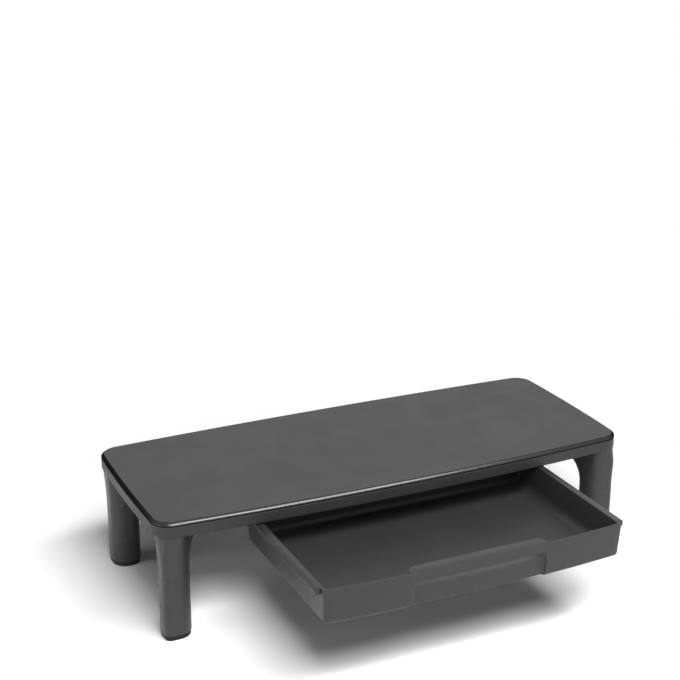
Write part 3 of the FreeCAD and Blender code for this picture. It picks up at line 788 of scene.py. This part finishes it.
@dataclass
class Platform:
    """Deck panel and skirt frame."""

    top: float = 129.0
    edge_z: float = 125.0
    edge_turns: tuple[Flat, ...] = ((58.0, 0.9), (38.0, 10.0), (0.0, 1.0))
    edge_under: float = 1.0
    edge_band: Flat = (13.0, 1.0)
    plate_z: float = 126.4
    plate_in: float = 18.0
    rim_z: float = 119.0
    rim_walls: Flat = (2.8, 4.8)
    skirt_top: float = 124.4
    skirt_bottom: float = 112.8
    skirt_edges: Flat = (1.2, 0.35)
    wall: float = 2.6
    ledge_reach: float = 4.0
    ledge_under: float = 117.0
    tab: Flat = (1.7, 5.2)
    seat: Flat = (0.02, 2.5)
    boss: Flat = (1.35, 3.65)
    leg_boss: Flat = (1.8, 5.1)
    leg_boss_z: float = 118.0
    boss_in_plate: float = 0.5
    rib_wall: float = 1.6
    rib_z: float = 119.4
    rib_in_plate: float = 0.6
    rib_inset: float = 4.4
    rib_pitch: Flat = (45.0, 36.0)
    screw_x: float = 180.0
    screw_inset: float = 7.95
    rail_top: float = 114.0
    rail_screw_x: float = 178.3
    rail_screw_y: tuple[float, ...] = (-81.0, 0.5, 82.0)
    outline: Outline = field(default_factory=Outline)

    def frame_screws(self) -> list[Flat]:
        """Place the screws round the skirt.

        Returns:
            Their plan positions.
        """
        inset, end = self.screw_inset, self.outline.width / 2 - self.screw_inset
        spots = [(x, line(x, inset)) for line in (self.outline.front_y, self.outline.back_y)
                 for x in (-self.screw_x, 0.0, self.screw_x)]
        return spots + [(-end, 0.0), (end, 0.0)]

    def rail_screws(self, side: int) -> list[Flat]:
        """Plan positions of one rail's screws."""
        return [(side * self.rail_screw_x, y) for y in self.rail_screw_y]

    def deck(self, finishes: Finishes) -> Object:
        """Top shell with its rolled edge, rim wall and bosses.

        Args:
            finishes: The materials.

        Returns:
            The shell.
        """
        u = self.edge_under
        roll = self._rolled_edge() + rounding(u, self.edge_z + u, u, 0.0, -90.0, 6)
        face = [(roll[0][0] + reach, self.top) for reach in self.edge_band]
        near, far = self.rim_walls
        inner = [(near, self.edge_z), (near, self.rim_z), (far, self.rim_z), (far, self.plate_z),
                 (self.plate_in, self.plate_z)]
        kinds = [0, 0] + [1] * (len(roll) - 1) + [2] * len(inner)
        shell = Shell()
        shell.skin([self.outline.at(inset, z) for inset, z in face + roll + inner], kinds)
        bosses = [(spot, self.boss, self.rim_z) for spot in self.frame_screws()]
        bosses += [((leg.x, leg.y), self.leg_boss, self.leg_boss_z) for leg in LEGS]
        bosses += [(spot, self.boss, self.rail_top)
                   for spot in self.rail_screws(-1) + self.rail_screws(1)]
        root = self.plate_z + self.boss_in_plate
        for (x, y), (bore, radius), low in bosses:
            shell.tube(x, y, [(bore, root), (bore, low), (radius, low), (radius, root)])
        return shell.finish("deck_shell", [finishes.deck, finishes.deck_edge, finishes.rail])

    def _rolled_edge(self) -> list[Flat]:
        """Edge of the deck from its top face down to its side: tight, nearly flat, tight.

        Returns:
            (inset, z) pairs.
        """
        turned, inset, z = QUARTER, 0.0, self.top
        points = [(inset, z)]
        for end, radius in self.edge_turns:
            for a in spread(turned, radians(end), 5)[1:]:
                inset -= radius * (cos(a) - cos(turned))
                z += radius * (sin(a) - sin(turned))
                turned = a
                points.append((inset, z))
        return [(x - inset, height) for x, height in points]

    def skirt(self, finishes: Finishes) -> Object:
        """Skirt ring with its ledge, screw tabs and leg seats.

        Args:
            finishes: The materials.

        Returns:
            The skirt.
        """
        low, high, wall = self.skirt_bottom, self.skirt_top, self.wall
        ledge, (under, over) = wall + self.ledge_reach, self.skirt_edges
        profile = rounding(under, low + under, under, -90.0, 0.0, 6)
        profile += rounding(over, high - over, over, 0.0, 90.0, 3)
        profile += [(wall, high), (wall, self.rim_z), (ledge, self.rim_z),
                    (ledge, self.ledge_under), (wall, self.ledge_under), (wall, low)]
        shell = Shell()
        shell.skin([self.outline.at(inset, z) for inset, z in braced(profile)], ring=True)
        bore, tab = self.tab
        for x, y in self.frame_screws():
            shell.tube(x, y, [(bore, self.rim_z), (bore, self.ledge_under),
                              (tab, self.ledge_under), (tab, self.rim_z), (bore, self.rim_z)])
        for leg in LEGS:
            plan = leg.flared(low, under)
            shell.skin([[(x, y, low + z) for x, y, _ in plan] for z in self.seat])
        return shell.finish("skirt_ring", [finishes.skirt])


@dataclass
class Drawer:
    """Tray drawer with its rims, lugs and finger pull, drawn pulled out to its stop."""

    front: float = -261.4
    rear: float = -63.5
    rim: float = 111.6
    bottom: float = 75.2
    half: float = 162.0
    bow: float = 6.8
    wall: float = 3.0
    front_wall: float = 2.5
    floor: float = 2.5
    side_draft: float = 1.6
    front_draft: float = 2.6
    rear_draft: float = 2.7
    side_edge: float = 4.2
    front_edge: float = 3.0
    rear_edge: float = 4.0
    inner_edge: float = 9.0
    front_corner: float = 1.4
    rear_corner: float = 3.0
    inner_corner: float = 2.4
    plain_front: float = 78.0
    front_runs: tuple[tuple[float, float, int], ...] = ((-160.6, -80.0, 12), (-76.0, -68.0, 26),
                                                        (-63.0, 0.0, 14))
    side_runs: tuple[tuple[float, float, int], ...] = ((82.5, 90.5, 4), (91.0, 103.0, 20),
                                                       (105.0, 108.0, 1))
    inner_levels: tuple[float, ...] = (106.0, 100.0, 94.0)
    pull_half: float = 73.0
    pull_top: float = 102.4
    pull_depth: float = 4.0
    pull_edge: float = 0.9
    pull_blend: Flat = (3.4, 11.0)
    pull_round: float = 2.4
    shelf_half: float = 75.0
    shelf_depth: float = 16.0
    shelf_corner: float = 11.0
    shelf_nook: float = 1.3
    shelf_draft: float = 1.6
    pocket_wall: float = 2.0
    pocket_corner: float = 4.0
    pocket_levels: tuple[float, ...] = (82.0, 88.0, 91.0, 94.0, 97.0, 100.0, 104.0, 109.4)
    rim_out: float = 167.6
    rim_step: float = 165.7
    rim_lip: float = 165.8
    rim_root: float = 161.0
    rim_drop: float = 6.2
    rim_thick: float = 2.2
    rim_setback: float = 6.3
    rim_end: float = 1.8
    lug: Flat = (166.6, 169.8)
    lug_length: float = 5.0

    def bow_y(self, x: float) -> float:
        """How far the front has bowed back at x."""
        radius = (self.half ** 2 + self.bow ** 2) / (2 * self.bow)
        return radius - sqrt(radius ** 2 - x ** 2)

    def share(self, z: float) -> float:
        """0 at the rim and 1 at the bottom."""
        return (self.rim - z) / (self.rim - self.bottom)

    def under(self, radius: float, z: float) -> float:
        """How far a rounded bottom edge has turned in at height z."""
        down = radius - (z - self.bottom)
        return radius - sqrt(max(0.0, radius ** 2 - max(0.0, down) ** 2))

    def pull(self, x: float, z: float) -> float:
        """Sink the finger pull into the front.

        Args:
            x: Place along the front.
            z: Height.

        Returns:
            Depth at that place.
        """
        side = max(0.0, 1.0 - (self.pull_half - abs(x)) / self.pull_blend[0])
        top = max(0.0, 1.0 - (self.pull_top - z) / self.pull_blend[1])
        return self.pull_depth * (1.0 - min(1.0, hypot(side, top)) ** self.pull_round)

    def front_marks(self) -> list[float]:
        """X places along the left half of the front, closer together at the pull's end."""
        return [x for run in self.front_runs for x in spread(*run)]

    @staticmethod
    def closed(front: Sequence[Flat], half: float, end_y: float, rear: float, corners: Flat,
               z: float) -> list[Point]:
        """Close a front line round both sides and the rear.

        Args:
            front: Points along the front, from left to right.
            half: X of the right side.
            end_y: Y where the front meets the side.
            rear: Y of the rear side.
            corners: Radii of the front and the rear corners.
            z: Height.

        Returns:
            Closed loop of points.
        """
        near, far = corners
        right = arc_steps((half - near, end_y + near), near, -QUARTER, 0.0, 6)[1:]
        right += [(half, y) for y in spread(end_y + near, rear - far, 10)[1:-1]]
        right += arc_steps((half - far, rear - far), far, 0.0, QUARTER, 8)
        back = [(x, rear) for x in spread(half - far, -(half - far), 16)[1:-1]]
        left = [(-x, y) for x, y in reversed(right)]
        return [(x, y, z) for x, y in [*front, *right, *back, *left]]

    def outer_loop(self, z: float, worn: float) -> list[Point]:
        """Outside of the tray.

        Args:
            z: Height.
            worn: How far the edge is worn in.

        Returns:
            Closed loop of points.
        """
        drop = self.share(z)
        half = self.half - self.side_draft * drop - self.under(self.side_edge, z) - worn
        rear = self.rear - self.rear_draft * drop - self.under(self.rear_edge, z) - worn
        front, inset = self.front + self.front_draft * drop, self.under(self.front_edge, z) + worn
        scale = (half - self.front_corner) / (self.half - self.front_corner)
        marks = self.front_marks()
        line = []
        for mark in marks + [-x for x in reversed(marks[:-1])]:
            x = mark * (scale if abs(mark) > self.plain_front else 1.0)
            scoop = self.pull(x, z)
            sunk = max(inset, scoop + self.under(self.pull_edge, z) if scoop > 0.0 else 0.0)
            line.append((x, front + self.bow_y(x) + sunk))
        end_y = front + inset + self.bow_y(half)
        return self.closed(line, half, end_y, rear, (self.front_corner, self.rear_corner), z)

    def inner_loop(self, inset: float, z: float) -> list[Point]:
        """Inside of the tray, round the block behind the finger pull.

        Args:
            inset: How far the loop is moved into the room.
            z: Height.

        Returns:
            Closed loop of points.
        """
        drop = self.share(z)
        half = self.half - self.side_draft * drop - self.wall - inset
        front = self.front + self.front_draft * drop + self.front_wall + inset
        rear = self.rear - self.rear_draft * drop - self.wall - inset
        corner = max(0.4, self.inner_corner - inset * 0.25)
        grown = self.shelf_draft * drop + inset
        r, nook = self.shelf_corner + grown, self.shelf_nook
        block, block_y = self.shelf_half + grown, self.front + self.shelf_depth + grown
        low = front + self.bow_y(block) + nook
        high = max(block_y - r, low + 0.2)
        begin = pi - asin(min(1.0, (high - block_y + r) / r))
        side_x = -(block - r) + r * cos(begin)
        line = [(x, front + self.bow_y(x)) for x in spread(corner - half, side_x - nook, 12)]
        line += arc_steps((side_x - nook, low), nook, -QUARTER, 0.0, 6)[1:]
        line += [(side_x, y) for y in spread(low, high, 2)[1:]]
        line += arc_steps((r - block, block_y - r), r, begin, QUARTER, 18)[1:]
        left_over = len(self.front_marks()) - len(line)
        line += [(x, block_y) for x in spread(r - block, 0.0, left_over)[1:]]
        line += [(-x, y) for x, y in reversed(line[:-1])]
        return self.closed(line, half, front + self.bow_y(half), rear, (corner, corner), z)

    def pocket_loop(self, z: float) -> list[Point]:
        """Hollow behind the finger pull.

        Args:
            z: Height.

        Returns:
            Closed loop of points.
        """
        drop, r = self.share(z), self.pocket_corner
        half = self.shelf_half + self.shelf_draft * drop - self.pocket_wall
        rear = self.front + self.shelf_depth + self.shelf_draft * drop - self.pocket_wall
        ease = smooth_step((self.pull_top + 1.0 - z) / self.pull_blend[1])
        near = self.front + self.front_draft * drop + self.pocket_wall + self.pull_depth * ease
        line = [(x, near + self.bow_y(x)) for x in spread(-half, half, 24)]
        line += arc_steps((half - r, rear - r), r, 0.0, QUARTER, 6)
        line += arc_steps((r - half, rear - r), r, QUARTER, pi, 6)
        return [(x, y, z) for x, y in line]

    def tray(self, finishes: Finishes) -> Object:
        """The whole drawer moulding.

        Args:
            finishes: The materials.

        Returns:
            The moulding.
        """
        e, f, rim = self.side_edge, self.inner_edge, self.rim
        turn, base = spread(0.0, QUARTER, 12), self.bottom + self.floor
        heights = [self.bottom + e * (1 - cos(a)) for a in turn]
        heights += [z for run in self.side_runs for z in spread(*run)]
        outside = [(z, 0.0) for z in [*heights, rim - 0.6, rim - 0.45]]
        outside += [(rim - 0.13, 0.13), (rim, 0.45)]
        inside = [(-0.4, rim), (-0.12, rim - 0.12), (0.0, rim - 0.4)]
        inside += [(0.0, z) for z in (rim - 0.6, *self.inner_levels)]
        inside += [(f * (1 - cos(a)), base + f * (1 - sin(a)))
                   for a in spread(0.0, QUARTER, 9)]
        loops = [self.outer_loop(z, worn) for z, worn in outside]
        loops += [self.inner_loop(inset, z) for inset, z in inside]
        shell, size = Shell(), len(loops[0])
        shell.skin(loops, [0] * (len(outside) + 1) + [1] * (len(inside) - 1), caps=False)
        shell.cap(len(shell.points) - size, size, 1)
        pocket = [self.pocket_loop(z) for z in (self.bottom, *self.pocket_levels)]
        mouth, hole = len(shell.points), len(pocket[0])
        shell.skin(pocket, caps=False)
        shell.cap(len(shell.points) - hole, hole, 0)
        self._underside(shell, size, mouth, hole)
        for sign in (-1, 1):
            self._rim(shell, sign)
        return shell.finish("drawer_moulding", [finishes.drawer, finishes.drawer_inside])

    @staticmethod
    def _underside(shell: Shell, outer: int, mouth: int, hole: int) -> None:
        """Fill the underside between the tray's outline and the pocket's mouth.

        Args:
            shell: Shell that holds both loops.
            outer: Number of points of the outline, which come first in the shell.
            mouth: Number of the first point of the mouth.
            hole: Number of points of the mouth.
        """
        work = bmesh.new()
        numbers = {}
        for ring in (range(outer), range(mouth, mouth + hole)):
            verts = [work.verts.new(shell.points[i]) for i in ring]
            numbers.update(zip(verts, ring))
            for i, vert in enumerate(verts):
                work.edges.new((vert, verts[(i + 1) % len(verts)]))
        filled = bmesh.ops.triangle_fill(work, use_beauty=True, use_dissolve=False,
                                         edges=work.edges[:])
        for face in (g for g in filled["geom"] if isinstance(g, bmesh.types.BMFace)):
            shell.faces.append(tuple(numbers[v] for v in face.verts))
            shell.kinds.append(0)
        work.free()

    def _rim(self, shell: Shell, sign: int) -> None:
        """Turned-down rim with a closed front end, and the stop lug, on one side.

        Args:
            shell: Shell to add them to.
            sign: -1 at the left and 1 at the right.
        """
        out, step, lip, root = self.rim_out, self.rim_step, self.rim_lip, self.rim_root
        low, high, below = self.rim - self.rim_drop, self.rim, self.rim - self.rim_thick
        outer = [(root, high - 0.02), (step - 0.25, high), (step - 0.07, high - 0.07),
                 (step, high - 0.25), (step, high - 0.5), (out - 1.0, high - 0.5),
                 (out - 0.6, high - 0.6), (out - 0.25, high - 0.85), (out - 0.08, high - 1.15),
                 (out, high - 1.6), (out, low + 0.5), (out - 0.15, low + 0.15), (out - 0.5, low)]
        hook = [(lip + 0.5, low), (lip + 0.15, low + 0.15), (lip, low + 0.5), (lip, below - 0.4),
                (lip - 0.4, below), (root, below)]
        y0 = self.front + self.bow + self.rim_setback
        y1 = y0 + self.rim_end
        front = [(y0, 0.35), (y0 + 0.1, 0.1), (y0 + 0.35, 0.0), (y1, 0.0)]
        behind = [(y1 - 0.02, 0.0), (self.rear - 0.35, 0.0), (self.rear, 0.3)]
        for profile, ends in ((outer + [(root, low)], front), (outer + hook, behind)):
            shell.skin([self._rim_loop(profile, sign, y, shrink) for y, shrink in ends])
        x0, x1 = sorted(sign * x for x in self.lug)
        shell.block((x0, self.rear - self.lug_length, low + 0.6), (x1, self.rear, high - 0.8), 0.3)

    def _rim_loop(self, profile: Sequence[Flat], sign: int, y: float, shrink: float) -> list[Point]:
        """Section of the rim.

        Args:
            profile: (x, z) pairs of the right rim.
            sign: -1 at the left and 1 at the right.
            y: Place along the drawer.
            shrink: How far the free edges are drawn in.

        Returns:
            Closed loop of points.
        """
        loop = []
        low, high = self.rim - self.rim_drop, self.rim
        for x, z in profile:
            px = x - shrink if x > self.rim_lip + 0.6 else x
            pz = z - shrink if z > high - 1.2 else z + shrink if z < low + 1.0 else z
            loop.append((sign * px, y, pz))
        return loop


@dataclass(frozen=True)
class Screw:
    """Pan-head screw with a cross recess, its seat at z = 0 and its thread upwards."""

    radius: float
    length: float
    head: float
    head_height: float
    core: float = 0.82
    pitch: float = 0.75
    segments: int = 24

    def profile(self) -> list[Flat]:
        """Outline from the recess over the head and the thread to the tip.

        Returns:
            (radius, z) pairs.
        """
        head, rise, root = self.head, self.head_height, self.radius * self.core
        pairs = [(0.35 * head, -rise * 0.55), (0.42 * head, -rise), (0.8 * head, -rise),
                 (0.95 * head, -rise * 0.75), (head, -rise * 0.35), (head, 0.0), (root, 0.0)]
        pitch = self.radius * self.pitch
        z = pitch
        while z < self.length - self.radius:
            pairs += [(root, z - pitch * 0.4), (self.radius, z), (root, z + pitch * 0.4)]
            z += pitch
        return pairs + [(root, self.length - self.radius), (0.25, self.length)]


SHORT_SCREW = Screw(1.3, 8.0, 2.9, 2.0)
LEG_SCREW = Screw(1.75, 20.0, 3.8, 2.6)


class Repeats:
    """Pieces that repeat by rule, made with Geometry Nodes."""

    @staticmethod
    def _close(board: Board, source: Node, target: Node, **instances: NodeSocket) -> None:
        """Put an instance on each point, and end the tree in Realize Instances and Set Material.

        Args:
            board: The tree.
            source: Its input node.
            target: Its output node.
            instances: Sockets for the instance, and its scale and turn where it has them.
        """
        place = board.add("GeometryNodeInstanceOnPoints", {"Points": source.outputs["Geometry"],
                                                           **instances})
        real = board.add("GeometryNodeRealizeInstances", {"Geometry": place.outputs["Instances"]})
        paint = board.add("GeometryNodeSetMaterial", {"Geometry": real.outputs["Geometry"],
                                                      "Material": source.outputs["Material"]})
        board.feed(target, {"Geometry": paint.outputs["Geometry"]})

    @staticmethod
    def _points(name: str, places: Sequence[Point]) -> Mesh:
        """Mesh of loose points.

        Args:
            name: Mesh name.
            places: The points in millimetres.

        Returns:
            The mesh.
        """
        mesh = bpy.data.meshes.new(name)
        mesh.from_pydata([(x * MM, y * MM, z * MM) for x, y, z in places], [], [])
        return mesh

    @staticmethod
    def _made(name: str, mesh: Mesh, tree: NodeTree, values: dict[str, object]) -> Object:
        """Run a tree on a mesh and keep the result as a plain mesh.

        Args:
            name: Object name.
            mesh: Points that the tree starts from.
            tree: Geometry tree.
            values: Input values by name.

        Returns:
            The object with its finished mesh and no modifier.
        """
        made = in_scene(name, mesh)
        modifier = made.modifiers.new("repeat", "NODES")
        modifier.node_group = tree
        for item in tree.interface.items_tree:
            if item.item_type == "SOCKET" and item.in_out == "INPUT" and item.name in values:
                modifier[item.identifier] = values[item.name]
        graph = bpy.context.evaluated_depsgraph_get()
        result = bpy.data.meshes.new_from_object(made.evaluated_get(graph), depsgraph=graph)
        made.modifiers.clear()
        result.name = name
        made.data = result
        return made

    def ribs(self, platform: Platform, material: Material) -> Object:
        """Rib grid under the deck, each rib as long as the outline allows.

        Args:
            platform: The platform that carries it.
            material: Material.

        Returns:
            The finished object.
        """
        board, source, target = Board.group("rib_rows", {
            "Geometry": "Geometry", "Rib wall": "Float", "Rib height": "Float",
            "Material": "Material"})
        size = board.add("ShaderNodeCombineXYZ", {"X": 1.0, "Y": source.outputs["Rib wall"],
                                                  "Z": source.outputs["Rib height"]})
        bar = board.add("GeometryNodeMeshCube", {"Size": size.outputs["Vector"]})
        length, turn = (
            board.add("GeometryNodeInputNamedAttribute", {"Name": name}, data_type="FLOAT")
            for name in ("rib_length", "rib_turn"))
        stretch = board.add("ShaderNodeCombineXYZ", {"X": length.outputs["Attribute"], "Y": 1.0,
                                                     "Z": 1.0})
        spin = board.add("ShaderNodeCombineXYZ", {"Z": turn.outputs["Attribute"]})
        self._close(board, source, target, Instance=bar.outputs["Mesh"],
                    Scale=stretch.outputs["Vector"], Rotation=spin.outputs["Vector"])
        outline, inset = platform.outline, platform.rib_inset
        root = platform.plate_z + platform.rib_in_plate
        middle = (platform.rib_z + root) / 2
        ribs = []
        for i in range(-5, 6):
            x = i * platform.rib_pitch[0]
            y0, y1 = outline.front_y(x, inset), outline.back_y(x, inset)
            ribs.append(((x, (y0 + y1) / 2, middle), (y1 - y0) * MM, QUARTER))
        for i in range(-2, 3):
            y = i * platform.rib_pitch[1]
            ribs.append(((0.0, y, middle), 2 * outline.side_x(y, inset) * MM, 0.0))
        places, lengths, turns = zip(*ribs)
        mesh = self._points("rib_points", places)
        for name, values in (("rib_length", lengths), ("rib_turn", turns)):
            mesh.attributes.new(name, "FLOAT", "POINT").data.foreach_set("value", values)
        return self._made("deck_ribs", mesh, board.tree, {
            "Rib wall": platform.rib_wall * MM, "Rib height": (root - platform.rib_z) * MM,
            "Material": material})

    def screws(self, name: str, spots: Sequence[Point], screw: Screw,
               material: Material) -> Object:
        """Set of equal screws.

        Args:
            name: Object name.
            spots: Seat of each screw.
            screw: Form of the screw.
            material: Material.

        Returns:
            The finished object.
        """
        board, source, target = Board.group(name + "_row", {
            "Geometry": "Geometry", "Screw": "Object", "Material": "Material"})
        info = board.add("GeometryNodeObjectInfo", {"Object": source.outputs["Screw"]})
        self._close(board, source, target, Instance=info.outputs["Geometry"])
        shell = Shell()
        shell.tube(0.0, 0.0, screw.profile(), screw.segments)
        pattern = shell.finish(name + "_pattern", [material])
        made = self._made(name, self._points(name + "_points", spots), board.tree,
                          {"Screw": pattern, "Material": material})
        bpy.data.objects.remove(pattern, do_unlink=True)
        return made


@dataclass
class Lamp:
    """Soft rectangular lamp that looks at a point."""

    name: str
    place: Point
    target: Point
    size: Flat
    power: float


@dataclass
class Studio:
    """Pale floor, plain soft light and the camera."""

    lens: float = 77.91
    sensor: float = 36.0
    nearest: float = 0.05
    camera_place: Point = (-0.6445, -1.3283, 0.7635)
    yaw: float = 0.435
    pitch: float = 0.3366
    ambient: float = 0.03
    floor_half: float = 8.0
    centre_y: float = 0.1
    fade: Flat = (0.36, 0.56)
    lamps: tuple[Lamp, ...] = (
        Lamp("lamp_key", (-0.35, -1.5, 2.0), (0.0, -0.1, 0.05), (1.0, 1.0), 54.0),
        Lamp("lamp_top", (0.55, -1.0, 1.9), (0.0, -0.1, 0.1), (1.1, 0.5), 34.0),
        Lamp("lamp_low", (0.5, -1.7, 0.12), (0.0, -0.2, 0.08), (1.4, 0.2), 6.0),
        Lamp("lamp_left", (-1.6, -0.15, 0.22), (-0.2, -0.1, 0.1), (1.2, 0.3), 12.0),
    )

    def camera(self) -> None:
        """Camera at the photograph's place."""
        data = bpy.data.cameras.new("studio_camera")
        data.lens, data.sensor_width, data.clip_start = self.lens, self.sensor, self.nearest
        made = in_scene("studio_camera", data)
        made.location = self.camera_place
        made.rotation_euler = (QUARTER - self.pitch, 0.0, -self.yaw)
        bpy.context.scene.camera = made

    def lights(self) -> None:
        """Lamps, and a world that looks white and gives a little light."""
        for lamp in self.lamps:
            data = bpy.data.lights.new(lamp.name, "AREA")
            data.shape, data.energy = "RECTANGLE", lamp.power
            data.size, data.size_y = lamp.size
            made = in_scene(lamp.name, data)
            made.location = lamp.place
            aim = Vector(lamp.target) - Vector(lamp.place)
            made.rotation_euler = aim.to_track_quat("-Z", "Y").to_euler()
        world = bpy.data.worlds.new("studio_world")
        world.use_nodes = True
        bpy.context.scene.world = world
        board = Board(world.node_tree)
        span = board.add("ShaderNodeMapRange", {"Value": board.seen(), "To Min": self.ambient,
                                                "To Max": 1.0})
        board.feed(world.node_tree.nodes["Background"],
                   {"Color": (1.0, 1.0, 1.0, 1.0), "Strength": span.outputs["Result"]})

    def floor(self) -> Object:
        """Large pale floor with a faint mottle, which turns white away from the stand.

        Returns:
            The floor.
        """
        half = self.floor_half
        mesh = bpy.data.meshes.new("studio_floor")
        corners = [(-half, -half, 0.0), (half, -half, 0.0), (half, half, 0.0), (-half, half, 0.0)]
        mesh.from_pydata(corners, [], [(0, 1, 2, 3)])
        material = bpy.data.materials.new("pale_floor")
        material.use_nodes = True
        nodes, board = material.node_tree.nodes, Board(material.node_tree)
        place = board.add("ShaderNodeTexCoord").outputs["Object"]
        mottle = board.add("ShaderNodeTexNoise", {"Vector": place, "Scale": 3.0}).outputs["Fac"]
        pale = board.ramp(mottle, (0.0, (0.93, 0.93, 0.93)), (1.0, (0.95, 0.95, 0.95)))
        shader = board.feed(nodes["Principled BSDF"], {
            "Base Color": pale, "Roughness": 0.85, "Specular IOR Level": 0.1})
        centre = board.add("ShaderNodeMapping", {"Vector": place,
                                                 "Location": (0.0, self.centre_y, 0.0)})
        reach = board.add("ShaderNodeVectorMath", {0: centre.outputs["Vector"]},
                          operation="LENGTH")
        fade = board.add("ShaderNodeMapRange", {
            "Value": reach.outputs["Value"], "From Min": self.fade[0], "From Max": self.fade[1]},
            interpolation_type="SMOOTHSTEP")
        share = board.maths("MULTIPLY", fade.outputs["Result"], board.seen())
        mix = board.add("ShaderNodeMixShader", {
            "Fac": share, 1: shader.outputs["BSDF"],
            2: board.add("ShaderNodeEmission").outputs["Emission"]})
        board.feed(nodes["Material Output"], {"Surface": mix.outputs["Shader"]})
        mesh.materials.append(material)
        made = in_scene("studio_floor", mesh)
        return made


@dataclass
class MonitorStand:
    """The whole stand: builds each piece, dresses it and ties it to its body."""

    platform: Platform = field(default_factory=Platform)
    drawer: Drawer = field(default_factory=Drawer)
    repeats: Repeats = field(default_factory=Repeats)
    frame_seat: float = 117.0
    rail_seat: float = 112.0
    leg_seat: float = 103.8

    @staticmethod
    def keep(piece: Object, body: str, slot: str, *nodes: str) -> None:
        """Tie a piece to its body and hide the solids it stands for.

        Args:
            piece: The piece.
            body: Name of the body it moves with.
            slot: Not used.
            nodes: Names of the solids it takes the place of.
        """
        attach(piece, body)
        if nodes:
            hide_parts(*nodes)
        LOG.info("%s rides on %s: %d faces", piece.name, body, len(piece.data.polygons))

    def build(self, frame: dict, finishes: Finishes) -> None:
        """Make every piece.

        Args:
            finishes: The materials.
        """
        self.keep(self.platform.deck(finishes), "platform", "deck_plastic", "deck_panel")
        self.keep(self.platform.skirt(finishes), "platform", "skirt_plastic", "skirt_frame")
        self.keep(self.repeats.ribs(self.platform, finishes.rail), "platform", "deck_plastic")
        for leg in LEGS:
            self.keep(leg.head(finishes), "platform", "leg_plastic", "upper_leg_" + leg.name)
            for level, low in leg.levels:
                label = f"{level}_riser_{leg.name}"
                self.keep(leg.riser_piece(level, low, finishes), label, "leg_plastic", label)
            self.keep(leg.foot(finishes), "lower_riser_" + leg.name, "foot_rubber",
                      "rubber_foot_" + leg.name)
        self.keep(self.drawer.tray(finishes), "drawer", "drawer_plastic", "drawer_tray")
        self._screws(finishes)
        for name in ("drawer_rail_left", "drawer_rail_right"):
            for slot in frame["nodes"][name].material_slots:
                slot.material = finishes.rail

    def _screws(self, finishes: Finishes) -> None:
        """Screws of the frame, the rails and the legs.

        Args:
            finishes: The materials.
        """
        rails = self.platform.rail_screws
        sets = {
            "frame_screws": (self.platform.frame_screws(), self.frame_seat, SHORT_SCREW),
            "rail_screws_left": (rails(-1), self.rail_seat, SHORT_SCREW),
            "rail_screws_right": (rails(1), self.rail_seat, SHORT_SCREW),
            "leg_screws": ([(leg.x, leg.y) for leg in LEGS], self.leg_seat, LEG_SCREW),
        }
        for node, (spots, seat, screw) in sets.items():
            piece = self.repeats.screws("turned_" + node, [(x, y, seat) for x, y in spots], screw,
                                        finishes.steel)
            self.keep(piece, "platform", "screw_steel", node)


def main() -> None:
    """Build the stand in its studio."""
    logging.basicConfig(level=logging.INFO, format="%(message)s")
    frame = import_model()
    bpy.context.scene.view_settings.view_transform = "Standard"
    studio = Studio()
    studio.camera()
    studio.lights()
    studio.floor()
    MonitorStand().build(frame, Finishes())
    LOG.info("sizes written")


if __name__ == "__main__":
    main()
